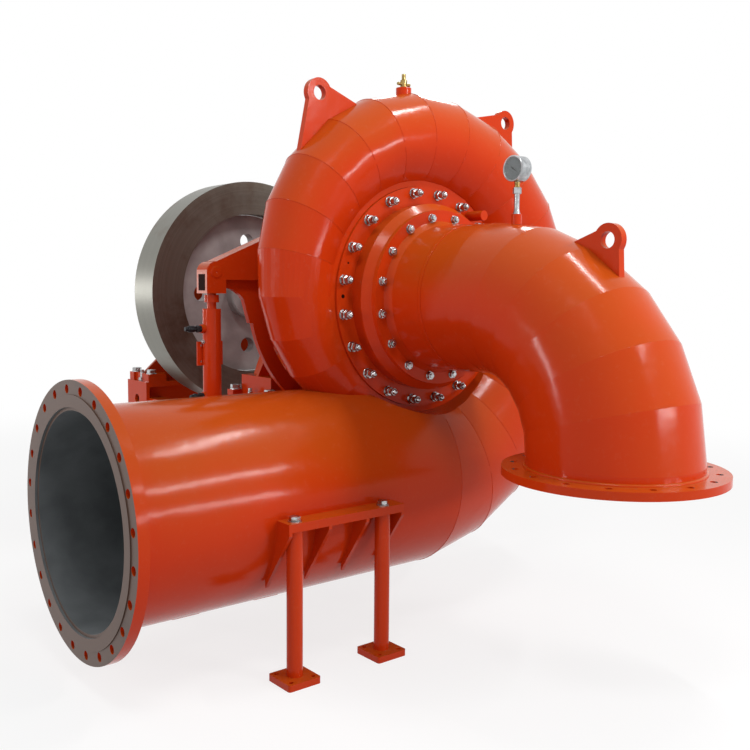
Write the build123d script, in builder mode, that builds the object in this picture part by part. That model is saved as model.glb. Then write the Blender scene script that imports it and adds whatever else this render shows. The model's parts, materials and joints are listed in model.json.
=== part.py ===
"""Horizontal mixed-flow water turbine with spiral casing, draft elbow, flywheel and gate gear."""
from build123d import *
from math import atan, atan2, cos, degrees, radians, sin, sqrt
import os

os.makedirs("parts", exist_ok=True)

# Frame: the origin is on the floor under the shaft, midway between the anchor bolts of the
# bearing base. X runs from the inlet to the far side, Y from the draft tube to the shaft end.

# Main levels and stations
shaft_height = 1400.0
casing_y = -1209.0
plate = 12.0

# Inlet pipe and its flange
pipe_r = 410.0
inlet_reach = 1520.5
inlet_drop = 797.9
inlet_flange_rim = 97.5
inlet_flange_t = 45.0
inlet_bolt_line = 65.0
inlet_holes = 24
inlet_hole_r = 16.5
inlet_face_step = 4.0
inlet_face_rim = 45.0
pipe_setback = 10.0
girth_seam_out = 47.0

# Spiral casing
rim_r = 503.0
rim_half = 142.0
crown_t = 42.0
section_root = 25.0
reach_side = 509.0
reach_end_angle = 308.0
tail_reach = 88.0
tail_angle = 345
plate_angle = 15
cock_boss_r = 34.0
cock_boss_out = 24.0

# Stay ring and the two covers
crown_width = 118.0
lip_w = 24.0
lip_play = 1.0
recess_depth = 20.0
stay_vanes = 12
stay_vane_t = 16.0
stay_vane_inset = 13.0
stay_vane_lean = 32.0
cover_face = 152.0
cover_land = 78.0
cover_step = 60.0
cover_cone = 30.0
stud_inset = 28.8
stud_count = 20
stud_r = 12.0
stud_out = 46.0
probe_angle = 54.0
probe_r = 22.0
probe_out = 100.0

# Draft collar and elbow
neck_r = 305.0
neck_length = 182.0
collar_rim = 65.0
collar_t = 22.6
collar_fillet_w = 18.0
collar_fillet_h = 30.0
elbow_inset = 4.0
elbow_growth = 15.0
elbow_bend = 566.0
elbow_lead = 162.0
elbow_segments = 6
elbow_leg = 30.0
draft_flange_rim = 85.0
draft_flange_t = 30.0
draft_seat = 8.0
draft_bolt_line = 43.0
draft_holes = 16
draft_hole_r = 13.0

# Lifting lugs
lug_t = 30.0
lug_tip_r = 60.0
lug_eye_r = 30.0
lug_stand = 110.0
lug_base = 206.0
lug_root = 60.0
lug_angles = {"left": 209.2, "right": 142.5}
elbow_lug_angle = 33.5
elbow_lug_stand = 66.0
elbow_lug_base = 154.5

# Rear cover and gate gear
rear_flange_t = 40.0
drum_margin = 21.0
drum_depth = 100.0
hub_r = 215.0
hub_wall = 20.0
gland_play = 8.0
gland_t = 30.0
drum_core_r = 262.0
gate_count = 12
gate_circle_r = 310.0
gate_stem_r = 20.0
gate_bush_r = 34.0
gate_bush_out = 28.0
stem_depth = 90.0
stem_fit = 0.05
side_play = 3.0
lever_length = 100.0
lever_t = 22.0
lever_eye_r = 30.0
lever_head_r = 24.0
slot_play = 1.5
drive_pin_r = 11.0
ring_inside = 26.0
ring_outside = 30.0
ring_t = 26.0
ring_swing = 8.0
shoe_count = 6
shoe_width = 44.0
shoe_seat = 24.0
shoe_lip = 14.0
shoe_lip_t = 8.0
shoe_step = 2.0
shoe_play = 0.4

# Regulating arm: a forked box round the eye of the servomotor's rod
arm_pin = (-781.0, 99.0)
box_half = 46.0
box_depth = 88.0
box_bottom = 89.0
box_wall = 10.0
box_side = 14.0
window_w = 48.0
window_edge = 12.0
window_top = 8.0
arm_slope = 0.43
shelf_drop = 5.0
shelf_t = 26.0
arm_gap = 8.0
arm_end_t = 16.0
web_start = 67.0
web_bulge = (141.0, 117.0)
web_foot = (181.0, 219.0)
pin_r = 20.0
pin_play = 2.5

# Servomotor and its foot bracket on the inlet pipe
eye_r = 31.0
eye_side_play = 2.0
neck_gap = 6.0
neck_ring_r = 31.0
neck_ring_h = 32.0
rod_r = 20.0
rod_length = 330.0
rod_fit = 0.05
barrel_r = 39.0
barrel_top = -55.0
barrel_bottom = -452.0
barrel_wall = 7.0
head_t = 30.0
port_r = 19.0
port_out = 54.0
port_level = -140.0
low_port_out = 45.0
low_port_level = -428.0
saddle_w = 122.0
saddle_h = 102.0
saddle_t = 8.0
saddle_level = -246.0
saddle_back = 20.0
saddle_hole_r = 4.0
saddle_hole_gap = 68.0
saddle_hole_edge = 17.0
foot_pin_drop = -495.0
foot_pin_r = 14.0
foot_eye_r = 28.0
foot_eye_t = 30.0
foot_neck_w = 45.0
foot_pin_play = 0.05
cheek_t = 16.0
cheek_gap = 6.0
cheek_margin = 4.0
cheek_foot_w = 96.0
cheek_foot_h = 150.0

# Bearings, stands and base
front_stand_y = -631.0
rear_stand_y = 539.0
base_level = -502.0
base_top_t = 28.0
beam_height = 210.0
beam_web_t = 24.0
web_inset = 60.0
beam_half_x = 474.0
beam_end_t = 20.0
beam_hole_r = 27.0
beam_hole_drop = 102.0
front_beam_w = 344.0
rear_beam_w = 242.0
sill_w = 90.0
sill_h = 120.0
front_body_w = 260.0
front_body_h = 117.0
front_body_x = 408.0
front_shoulder_x = 339.0
front_pad_y = 152.0
rear_body_w = 146.0
rear_body_h = 44.0
rear_body_x = 446.0
rear_shoulder_x = 250.0
rear_pad_y = 95.0
stand_wall = 25.0
pad_x = 405.0
pad_length = 110.0
pad_w = 52.0
pad_h = 44.0
gusset_t = 20.0
gusset_rise = 190.0
bearing_r = 165.0
bearing_seat = 20.0
bearing_out = 30.0
bearing_fit = 0.06
bearing_flange_r = 190.0
bearing_flange_t = 24.0
post_tube_r = 76.0
foot_plate_x = 300.0
foot_plate_y = 200.0
foot_plate_t = 25.0
foot_corner_r = 12.0
anchor_x = 400.0
anchor_y = 570.0
anchor_r = 14.0
anchor_spread = 118.0

# Rotor
shaft_r = 75.0
shaft_front = -1290.0
shaft_back = 860.0
flywheel_y = 146.0
flywheel_r = 610.4
flywheel_w = 209.8
flywheel_rim = 175.6
web_t = 60.0
web_holes = 4
web_hole_circle = 290.0
web_hole_r = 42.0
wheel_hub_r = 135.0
coupling_r = 180.0
coupling_t = 50.0
coupling_pcd = 290.0
coupling_holes = 12
coupling_hole_r = 13.0
runner_play = 3.0
runner_back_play = 6.0
runner_crown_t = 16.0
runner_band_t = 9.0
runner_band_length = 70.0
runner_nose_r = 95.0
runner_nose = -165.0
crown_waist = (150.0, 20.0)
blade_count = 13
blade_t_angle = 1.6
blade_wrap = 58.0
blade_mid_r = 195.0
blade_mid_angle = 20.0
blade_tip_inset = 3.0

# Support brackets and posts of the inlet pipe
bracket_x1 = -937.0
bracket_x2 = -396.0
bracket_drop = 800.0
bracket_edge = 80.0
bracket_root = 80.0
bracket_t = 32.0
rib_count = 4
rib_t = 14.0
rib_end = 12.0
rib_foot = 240.0
post_r = 30.0
post_out = 45.0
post_x = (-890.0, -478.0)
post_foot_w = 140.0
post_foot_r = 10.0
post_bolt = 48.0
post_hole_r = 9.0

# Pressure gauge on the elbow and air cock on top of the casing
gauge_y = -1891.0
gauge_level = 505.0
gauge_r = 50.0
gauge_depth = 50.0
gauge_boss_r = 20.0
gauge_boss_top = 331.0
gauge_stem_r = 9.0
gauge_nut_r = 17.0
gauge_nut_low = 409.0
gauge_nut_high = 433.0
cock_stem_r = 9.0
cock_body_r = 15.0
cock_body_h = 34.0
cock_height = 60.0
cock_arm = 34.0
cock_arm_r = 7.0

shaft_z = shaft_height
inlet_z = shaft_z - inlet_drop
crown_bore_r = rim_r - crown_width
recess_r = rim_r - lip_w
cover_r = recess_r - lip_play
cover_step_r = cover_r - cover_land
stud_circle_r = cover_r - stud_inset
collar_r = neck_r + collar_rim
drum_r = gate_circle_r + gate_bush_r + drum_margin
drive_r = gate_circle_r + lever_length
ring_inner_r = drive_r - ring_inside
ring_outer_r = drive_r + ring_outside


def wheel_plane(y):
    """A plane across the shaft at station y, its local x to the far side and its local y up."""
    return Plane(origin=(0, y, shaft_z), x_dir=(1, 0, 0), z_dir=(0, -1, 0))


def floor_plane(z):
    """A level plane at height z over the floor."""
    return Plane(origin=(0, 0, z), x_dir=(1, 0, 0), z_dir=(0, 0, 1))


def meridian_plane(angle):
    """The plane through the shaft at an angle from straight down, local x outwards, local y along Y."""
    return Plane(
        origin=(0, casing_y, shaft_z),
        x_dir=(sin(radians(angle)), 0, -cos(radians(angle))),
        z_dir=(cos(radians(angle)), 0, sin(radians(angle))),
    )


def casing_reach(angle):
    """How far the casing stands out past the rim of the stay ring at an angle from straight down."""
    at_pipe = inlet_drop + pipe_r - rim_r
    if angle < 90:
        square = reach_side**2 + (at_pipe**2 - reach_side**2) * (90 - angle) / 90
    else:
        square = reach_side**2 * (reach_end_angle - angle) / (reach_end_angle - 90)
    return sqrt(max(square, tail_reach**2))


def casing_half(angle):
    """Half the width of the casing where it meets the rim of the stay ring."""
    at_pipe = sqrt(pipe_r**2 - (inlet_drop - rim_r) ** 2)
    return rim_half + (at_pipe - rim_half) * (max(90 - angle, 0) / 90) ** 2


def casing_section(angle, inset):
    """A D-shaped section of the casing: an arc over a straight side inside the stay ring."""
    reach = casing_reach(angle)
    arc_r = (casing_half(angle) ** 2 + reach**2) / (2 * reach)
    centre = rim_r + reach - arc_r
    half = sqrt((arc_r - inset) ** 2 - (rim_r - centre) ** 2)
    tip = centre + arc_r - inset
    root = rim_r - section_root
    with BuildSketch(meridian_plane(angle)) as section:
        with BuildLine():
            ThreePointArc((rim_r, -half), (tip, 0), (rim_r, half))
            Polyline((rim_r, half), (root, half), (root, -half), (rim_r, -half))
        make_face()
    return section.sketch


section_angles = list(range(0, tail_angle + 1, plate_angle))

# Inside and outside of the spiral and of the straight inlet pipe
girth_seam_x = -(rim_r + casing_reach(270) + girth_seam_out)
with BuildPart() as casing_void:
    for angle in section_angles:
        add(casing_section(angle, plate))
    loft(ruled=True)
    with BuildSketch(Plane.YZ.offset(-inlet_reach)):
        with Locations((casing_y, inlet_z)):
            Circle(pipe_r - plate)
    extrude(amount=inlet_reach)
    with BuildSketch(Plane.XZ.offset(-casing_y)):
        with Locations((0, shaft_z)):
            Circle(rim_r + plate)
    extrude(amount=2 * pipe_r, both=True, mode=Mode.SUBTRACT)

with BuildPart() as casing_shell:
    for angle in section_angles:
        add(casing_section(angle, 0))
    loft(ruled=True)
    with BuildSketch(Plane.YZ.offset(-inlet_reach + pipe_setback)):
        with Locations((casing_y, inlet_z)):
            Circle(pipe_r)
    extrude(amount=inlet_reach - pipe_setback)
    add(casing_void.part, mode=Mode.SUBTRACT)
    with BuildSketch(Plane.XZ.offset(-casing_y)):
        with Locations((0, shaft_z)):
            Circle(rim_r)
    extrude(amount=2 * pipe_r, both=True, mode=Mode.SUBTRACT)
    with BuildSketch(Plane.XZ.offset(-casing_y)):
        with Locations((0, shaft_z)):
            Circle(rim_r + plate + 1)
    extrude(amount=rim_half - crown_t, both=True, mode=Mode.SUBTRACT)

with BuildPart() as casing_body:
    for angle in section_angles:
        add(casing_section(angle, 0))
    loft(ruled=True)

crest_z = shaft_z + rim_r + casing_reach(180)
with BuildPart() as spiral_casing:
    add(casing_shell.part)
    split(bisect_by=Plane.YZ.offset(girth_seam_x), keep=Keep.TOP)
    with BuildSketch(floor_plane(crest_z - cock_boss_out)):
        with Locations((0, casing_y)):
            Circle(cock_boss_r)
    extrude(amount=2 * cock_boss_out)
    with BuildSketch(floor_plane(crest_z - 2 * cock_boss_out)):
        with Locations((0, casing_y)):
            Circle(cock_stem_r)
    extrude(amount=3 * cock_boss_out, mode=Mode.SUBTRACT)
spiral_casing.part.label = "spiral_casing"
export_step(spiral_casing.part, "parts/spiral_casing.step")

with BuildPart() as inlet_pipe:
    add(casing_shell.part)
    split(bisect_by=Plane.YZ.offset(girth_seam_x), keep=Keep.BOTTOM)
inlet_pipe.part.label = "inlet_pipe"
export_step(inlet_pipe.part, "parts/inlet_pipe.step")

with BuildPart() as inlet_flange:
    with BuildSketch(Plane.YZ.offset(-inlet_reach + inlet_face_step)):
        with Locations((casing_y, inlet_z)):
            Circle(pipe_r + inlet_flange_rim)
            Circle(pipe_r, mode=Mode.SUBTRACT)
            with PolarLocations(pipe_r + inlet_bolt_line, inlet_holes, start_angle=180 / inlet_holes):
                Circle(inlet_hole_r, mode=Mode.SUBTRACT)
    extrude(amount=inlet_flange_t - inlet_face_step)
    with BuildSketch(Plane.YZ.offset(-inlet_reach)):
        with Locations((casing_y, inlet_z)):
            Circle(pipe_r + inlet_face_rim)
            Circle(pipe_r, mode=Mode.SUBTRACT)
    extrude(amount=inlet_face_step)
inlet_flange.part.label = "inlet_flange"
export_step(inlet_flange.part, "parts/inlet_flange.step")

# Stay ring: two crowns with the stay vanes between them
crown_in = rim_half - crown_t
with BuildPart() as stay_ring:
    with BuildSketch(Plane(origin=(0, casing_y, shaft_z), x_dir=(1, 0, 0), z_dir=(0, 0, 1))):
        for side in (-1, 1):
            with BuildLine():
                Polyline(
                    (crown_bore_r, side * crown_in),
                    (rim_r, side * crown_in),
                    (rim_r, side * rim_half),
                    (recess_r, side * rim_half),
                    (recess_r, side * (rim_half - recess_depth)),
                    (crown_bore_r, side * (rim_half - recess_depth)),
                    close=True,
                )
            make_face()
    revolve(axis=Axis((0, casing_y, shaft_z), (0, 1, 0)))
    with BuildSketch(Plane.XZ.offset(-casing_y)):
        with Locations((0, shaft_z)):
            with PolarLocations((crown_bore_r + rim_r) / 2, stay_vanes):
                with Locations(Location((0, 0), stay_vane_lean)):
                    SlotOverall(crown_width - 2 * stay_vane_inset, stay_vane_t)
    extrude(amount=crown_in, both=True)
stay_ring.part.label = "stay_ring"
export_step(stay_ring.part, "parts/stay_ring.step")

# Front cover between the stay ring and the draft collar
cover_back = rim_half - recess_depth
collar_joint = cover_face + cover_step + cover_cone
with BuildPart() as front_cover:
    with BuildSketch(Plane(origin=(0, casing_y, shaft_z), x_dir=(1, 0, 0), z_dir=(0, 0, 1))):
        with BuildLine():
            Polyline(
                (neck_r, -cover_back),
                (cover_r, -cover_back),
                (cover_r, -cover_face),
                (cover_step_r, -cover_face),
                (cover_step_r, -cover_face - cover_step),
                (collar_r, -collar_joint),
                (neck_r, -collar_joint),
                close=True,
            )
        make_face()
    revolve(axis=Axis((0, casing_y, shaft_z), (0, 1, 0)))
    with BuildSketch(wheel_plane(casing_y - cover_face)):
        with PolarLocations(stud_circle_r, stud_count, start_angle=180 / stud_count):
            Circle(stud_r)
    extrude(amount=stud_out)
    with BuildSketch(wheel_plane(casing_y - cover_face)):
        with PolarLocations(stud_circle_r, 1, start_angle=probe_angle):
            Circle(probe_r)
    extrude(amount=probe_out)
front_cover.part.label = "front_cover"
export_step(front_cover.part, "parts/front_cover.step")

# Draft collar: bolted flange with its neck
collar_face = collar_joint + collar_t
with BuildPart() as draft_collar:
    with BuildSketch(Plane(origin=(0, casing_y, shaft_z), x_dir=(1, 0, 0), z_dir=(0, 0, 1))):
        with BuildLine():
            Polyline(
                (neck_r - plate, -collar_joint),
                (collar_r, -collar_joint),
                (collar_r, -collar_face),
                (neck_r + collar_fillet_w, -collar_face),
                (neck_r, -collar_face - collar_fillet_h),
                (neck_r, -collar_face - neck_length),
                (neck_r - plate, -collar_face - neck_length),
                close=True,
            )
        make_face()
    revolve(axis=Axis((0, casing_y, shaft_z), (0, 1, 0)))
draft_collar.part.label = "draft_collar"
export_step(draft_collar.part, "parts/draft_collar.step")

# Mitred draft elbow in two welded halves, with the boss of the pressure gauge on the upper one
elbow_start = -(collar_face + neck_length)
elbow_y = casing_y + elbow_start - elbow_lead
draft_y = elbow_y - elbow_bend
elbow_centre_z = shaft_z - elbow_bend
elbow_bottom_z = elbow_centre_z - elbow_leg
elbow_r_start = neck_r - elbow_inset
elbow_r_end = elbow_r_start + elbow_growth
elbow_middle = elbow_segments // 2


def elbow_ring(step, inset):
    """A round section of the elbow at one of its mitre planes."""
    turn = radians(90 * step / elbow_segments)
    centre = (0, elbow_y - elbow_bend * sin(turn), elbow_centre_z + elbow_bend * cos(turn))
    with BuildSketch(Plane(origin=centre, x_dir=(1, 0, 0), z_dir=(0, -cos(turn), -sin(turn)))) as section:
        Circle(elbow_r_start + elbow_growth * step / elbow_segments - inset)
    return section.sketch


def elbow_mouth(inset):
    """The round section where the elbow starts at the neck."""
    with BuildSketch(wheel_plane(casing_y + elbow_start)) as section:
        Circle(elbow_r_start - inset)
    return section.sketch


def elbow_foot(inset, lift):
    """The round section where the elbow ends in its flange."""
    with BuildSketch(
        Plane(origin=(0, draft_y, elbow_bottom_z - draft_flange_t + lift), x_dir=(1, 0, 0), z_dir=(0, 0, -1))
    ) as section:
        Circle(elbow_r_end - inset)
    return section.sketch


with BuildPart() as upper_void:
    add(elbow_mouth(plate))
    for step in range(elbow_middle + 1):
        add(elbow_ring(step, plate))
    loft(ruled=True)

with BuildPart() as elbow_upper:
    add(elbow_mouth(0))
    for step in range(elbow_middle + 1):
        add(elbow_ring(step, 0))
    loft(ruled=True)
    with BuildSketch(floor_plane(shaft_z + gauge_boss_top)):
        with Locations((0, gauge_y)):
            Circle(gauge_boss_r)
    extrude(amount=-2 * gauge_boss_r)
    add(upper_void.part, mode=Mode.SUBTRACT)
    with BuildSketch(floor_plane(shaft_z + gauge_boss_top)):
        with Locations((0, gauge_y)):
            Circle(gauge_stem_r / 2)
    extrude(amount=-4 * gauge_boss_r, mode=Mode.SUBTRACT)
elbow_upper.part.label = "elbow_upper"
export_step(elbow_upper.part, "parts/elbow_upper.step")

with BuildPart() as lower_void:
    for step in range(elbow_middle, elbow_segments + 1):
        add(elbow_ring(step, plate))
    add(elbow_foot(plate, 0))
    loft(ruled=True)

with BuildPart() as elbow_lower:
    for step in range(elbow_middle, elbow_segments + 1):
        add(elbow_ring(step, 0))
    add(elbow_foot(0, draft_seat))
    loft(ruled=True)
    add(lower_void.part, mode=Mode.SUBTRACT)
elbow_lower.part.label = "elbow_lower"
export_step(elbow_lower.part, "parts/elbow_lower.step")

with BuildPart() as draft_flange:
    with BuildSketch(floor_plane(elbow_bottom_z - draft_flange_t)):
        with Locations((0, draft_y)):
            Circle(elbow_r_end + draft_flange_rim)
            Circle(elbow_r_end, mode=Mode.SUBTRACT)
            with PolarLocations(elbow_r_end + draft_bolt_line, draft_holes, start_angle=180 / draft_holes):
                Circle(draft_hole_r, mode=Mode.SUBTRACT)
    extrude(amount=draft_flange_t)
draft_flange.part.label = "draft_flange"
export_step(draft_flange.part, "parts/draft_flange.step")


def lifting_lug(name, plane, surface_r, stand, base, keep_out):
    """A triangular plate with a round eye, standing on a curved shell."""
    with BuildPart() as lug:
        with BuildSketch(plane):
            with Locations((surface_r + stand, 0)):
                Circle(lug_tip_r)
            with BuildLine():
                Polyline(
                    (surface_r + stand, lug_tip_r),
                    (surface_r - lug_root, base),
                    (surface_r - lug_root, -base),
                    (surface_r + stand, -lug_tip_r),
                    close=True,
                )
            make_face()
            with Locations((surface_r + stand, 0)):
                Circle(lug_eye_r, mode=Mode.SUBTRACT)
        extrude(amount=lug_t / 2, both=True)
        add(keep_out, mode=Mode.SUBTRACT)
    lug.part.label = name
    export_step(lug.part, f"parts/{name}.step")


for side, angle in lug_angles.items():
    out = (sin(radians(angle)), 0, -cos(radians(angle)))
    lug_plane = Plane(origin=(0, casing_y, shaft_z), x_dir=out, z_dir=(0, 1, 0))
    lug_seat = rim_r + casing_reach(angle)
    lifting_lug(f"casing_lug_{side}", lug_plane, lug_seat, lug_stand, lug_base, casing_body.part)

with BuildPart() as elbow_body:
    add(elbow_mouth(0))
    for step in range(elbow_segments + 1):
        add(elbow_ring(step, 0))
    loft(ruled=True)

elbow_out = (0, -sin(radians(elbow_lug_angle)), cos(radians(elbow_lug_angle)))
elbow_lug_plane = Plane(origin=(0, elbow_y, elbow_centre_z), x_dir=elbow_out, z_dir=(1, 0, 0))
elbow_top = elbow_bend + elbow_r_start + elbow_growth * elbow_lug_angle / 90
lifting_lug("elbow_lug", elbow_lug_plane, elbow_top, elbow_lug_stand, elbow_lug_base, elbow_body.part)


def back_plane(station):
    """A plane across the shaft, facing the shaft end, at a distance behind the casing's middle."""
    return Plane(origin=(0, casing_y + station, shaft_z), x_dir=(-1, 0, 0), z_dir=(0, 1, 0))


# Rear cover: flange, drum, hub tube and the bushes of the gate stems
drum_face = cover_back + rear_flange_t + drum_depth
bush_face = drum_face + gate_bush_out
hub_end = front_stand_y - front_body_w / 2 - casing_y
with BuildPart() as rear_cover:
    with BuildSketch(Plane(origin=(0, casing_y, shaft_z), x_dir=(1, 0, 0), z_dir=(0, 0, 1))):
        with BuildLine():
            Polyline(
                (shaft_r + gland_play, cover_back),
                (cover_r, cover_back),
                (cover_r, cover_back + rear_flange_t),
                (drum_r, cover_back + rear_flange_t),
                (drum_r, drum_face),
                (hub_r, drum_face),
                (hub_r, hub_end),
                (hub_r - hub_wall, hub_end),
                (hub_r - hub_wall, drum_face),
                (shaft_r + gland_play, drum_face),
                (shaft_r + gland_play, drum_face - gland_t),
                (drum_core_r, drum_face - gland_t),
                (drum_core_r, cover_back + gland_t),
                (shaft_r + gland_play, cover_back + gland_t),
                close=True,
            )
        make_face()
    revolve(axis=Axis((0, casing_y, shaft_z), (0, 1, 0)))
    with BuildSketch(back_plane(drum_face)):
        with PolarLocations(gate_circle_r, gate_count):
            Circle(gate_bush_r)
    extrude(amount=gate_bush_out)
    with BuildSketch(back_plane(bush_face)):
        with PolarLocations(gate_circle_r, gate_count):
            Circle(gate_stem_r + stem_fit)
    extrude(amount=-stem_depth - side_play, mode=Mode.SUBTRACT)
rear_cover.part.label = "rear_cover"
export_step(rear_cover.part, "parts/rear_cover.step")

# Gate gear: the drive pins stand half a swing ahead of their gates at rest
lever_back = bush_face + side_play + lever_t
ring_front = lever_back + side_play
ring_back = ring_front + ring_t
ring_mid = (ring_front + ring_back) / 2
arm_y = casing_y + ring_mid
half_swing = ring_swing / 2
drive_across = drive_r * sin(radians(half_swing))
drive_along = drive_r * cos(radians(half_swing)) - gate_circle_r
lever_lean = degrees(atan2(drive_across, drive_along))
slot_far = sqrt(drive_across**2 + drive_along**2)
gate_angles = [360 * gate / gate_count for gate in range(gate_count)]

for gate, gate_angle in enumerate(gate_angles):
    stem_point = (
        gate_circle_r * cos(radians(gate_angle)),
        casing_y + bush_face,
        shaft_z + gate_circle_r * sin(radians(gate_angle)),
    )
    lean = radians(gate_angle + lever_lean)
    lever_out = (cos(lean), 0, sin(lean))
    lever_plane = Plane(origin=stem_point, x_dir=lever_out, z_dir=(0, 1, 0))
    with BuildPart() as gate_lever:
        with BuildSketch(lever_plane.offset(side_play)):
            Circle(lever_eye_r)
            with Locations((slot_far, 0)):
                Circle(lever_head_r)
            with BuildLine():
                Polyline((0, lever_eye_r * 0.8), (slot_far, lever_head_r), (slot_far, -lever_head_r),
                         (0, -lever_eye_r * 0.8), close=True)
            make_face()
            with Locations(((lever_length + slot_far) / 2, 0)):
                SlotCenterToCenter(slot_far - lever_length + 2 * slot_play,
                                   2 * (drive_pin_r + slot_play), mode=Mode.SUBTRACT)
        extrude(amount=lever_t)
        with BuildSketch(lever_plane.offset(side_play + lever_t)):
            Circle(gate_stem_r)
        extrude(amount=-stem_depth - lever_t - side_play)
    gate_lever.part.label = f"gate_lever_{gate + 1:02d}"
    export_step(gate_lever.part, f"parts/gate_lever_{gate + 1:02d}.step")

with BuildPart() as regulating_ring:
    with BuildSketch(back_plane(ring_front)):
        Circle(ring_outer_r)
        Circle(ring_inner_r, mode=Mode.SUBTRACT)
    extrude(amount=ring_t)
    with BuildSketch(Plane(origin=(0, casing_y + ring_front, shaft_z), x_dir=(1, 0, 0), z_dir=(0, -1, 0))):
        with PolarLocations(drive_r, gate_count, start_angle=half_swing):
            Circle(drive_pin_r)
    extrude(amount=lever_t + side_play)
regulating_ring.part.label = "regulating_ring"
export_step(regulating_ring.part, "parts/regulating_ring.step")

# Guide shoes on the drum: they carry the ring at its bore and hold it from behind
with BuildPart() as ring_shoes:
    with BuildSketch(back_plane(drum_face)):
        with PolarLocations(drum_r - shoe_seat, shoe_count, start_angle=180 / gate_count):
            Rectangle(2 * shoe_seat, shoe_width)
        Circle(drum_r, mode=Mode.INTERSECT)
    extrude(amount=ring_back - drum_face + shoe_play)
    with BuildSketch(back_plane(ring_front + shoe_step)):
        with PolarLocations(drum_r, shoe_count, start_angle=180 / gate_count):
            Rectangle(4 * shoe_seat, shoe_width)
        Circle(ring_inner_r - shoe_play, mode=Mode.INTERSECT)
        Circle(drum_r - shoe_seat, mode=Mode.SUBTRACT)
    extrude(amount=ring_t - shoe_step + shoe_play)
    with BuildSketch(back_plane(ring_back + shoe_play)):
        with PolarLocations(drum_r, shoe_count, start_angle=180 / gate_count):
            Rectangle(4 * shoe_seat, shoe_width)
        Circle(ring_inner_r + shoe_lip, mode=Mode.INTERSECT)
        Circle(drum_r - shoe_seat, mode=Mode.SUBTRACT)
    extrude(amount=shoe_lip_t)
ring_shoes.part.label = "ring_shoes"
export_step(ring_shoes.part, "parts/ring_shoes.step")

# Regulating arm: a hollow box on a web, with a window in its end and the rod's eye between its sides
pin_x, pin_z = arm_pin
arm_plane = Plane(origin=(0, arm_y, shaft_z), x_dir=(1, 0, 0), z_dir=(0, -1, 0))
box_floor = pin_z - box_bottom
shelf_top = pin_z - shelf_drop
shelf_low = shelf_top - shelf_t
arm_clear_r = ring_outer_r + arm_gap
arm_top_x = -arm_clear_r * sin(atan(arm_slope))
web_x = pin_x + box_half - box_wall


arm_solids = []
for inset, low, shelf, depth in (
    (0, box_floor, shelf_low, box_depth / 2),
    (box_wall, box_floor - box_wall, shelf_top, box_depth / 2 - box_side),
):
    half = box_half - inset
    with BuildPart() as arm_solid:
        with BuildSketch(arm_plane):
            with Locations((pin_x, pin_z)):
                Circle(half)
            with Locations((pin_x, (low + pin_z) / 2)):
                Rectangle(2 * half, pin_z - low)
            with BuildLine():
                Polyline(
                    (pin_x, pin_z + half),
                    (arm_top_x, pin_z + half + arm_slope * (arm_top_x - pin_x)),
                    (arm_top_x, shelf),
                    (pin_x, shelf),
                    close=True,
                )
            make_face()
            Circle(arm_clear_r + (arm_end_t if inset else 0), mode=Mode.SUBTRACT)
        extrude(amount=depth, both=True)
    arm_solids.append(arm_solid.part)

with BuildPart() as arm_void:
    add(arm_solids[1])
    with BuildSketch(Plane(origin=(pin_x, arm_y, shaft_z), x_dir=(0, 1, 0), z_dir=(-1, 0, 0))):
        with BuildLine():
            Polyline(
                (-window_w / 2, box_floor + window_edge),
                (window_w / 2, box_floor + window_edge),
                (window_w / 2, pin_z - window_top),
                (-window_w / 2, pin_z - window_top),
                close=True,
            )
        make_face()
    extrude(amount=2 * box_half)

with BuildPart() as regulating_arm:
    add(arm_solids[0])
    with BuildSketch(arm_plane):
        with BuildLine():
            Polyline(
                (pin_x + web_bulge[0] + box_wall, pin_z - web_bulge[1]),
                (pin_x + web_foot[0], pin_z - web_foot[1]),
                (0, pin_z - web_foot[1]),
                (0, shelf_top),
                (web_x, shelf_top),
                (web_x, pin_z - web_start),
            )
            ThreePointArc(
                (web_x, pin_z - web_start),
                (pin_x + web_bulge[0] - 2 * box_wall, pin_z - web_bulge[1] + 3 * box_wall),
                (pin_x + web_bulge[0] + box_wall, pin_z - web_bulge[1]),
            )
        make_face()
        Circle(ring_outer_r, mode=Mode.SUBTRACT)
    extrude(amount=ring_t / 2, both=True)
    with BuildSketch(arm_plane):
        with BuildLine():
            Polyline(
                (pin_x + 4 * box_half, shelf_low),
                (pin_x + 4 * box_half, pin_z - arm_slope * pin_x / 2),
                (0, pin_z - arm_slope * pin_x / 2),
                (0, shelf_low),
                close=True,
            )
        make_face()
        Circle(arm_clear_r + arm_end_t / 2, mode=Mode.INTERSECT)
        Circle(ring_outer_r, mode=Mode.SUBTRACT)
    extrude(amount=ring_t / 2, both=True)
    add(arm_void.part, mode=Mode.SUBTRACT)
    with BuildSketch(arm_plane):
        with Locations((pin_x, pin_z)):
            Circle(pin_r)
    extrude(amount=box_depth, both=True, mode=Mode.SUBTRACT)
regulating_arm.part.label = "regulating_arm"
export_step(regulating_arm.part, "parts/regulating_arm.step")

with BuildPart() as yoke_pin:
    with BuildSketch(arm_plane):
        with Locations((pin_x, pin_z)):
            Circle(pin_r)
    extrude(amount=box_depth / 2, both=True)
yoke_pin.part.label = "yoke_pin"
export_step(yoke_pin.part, "parts/yoke_pin.step")

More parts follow.
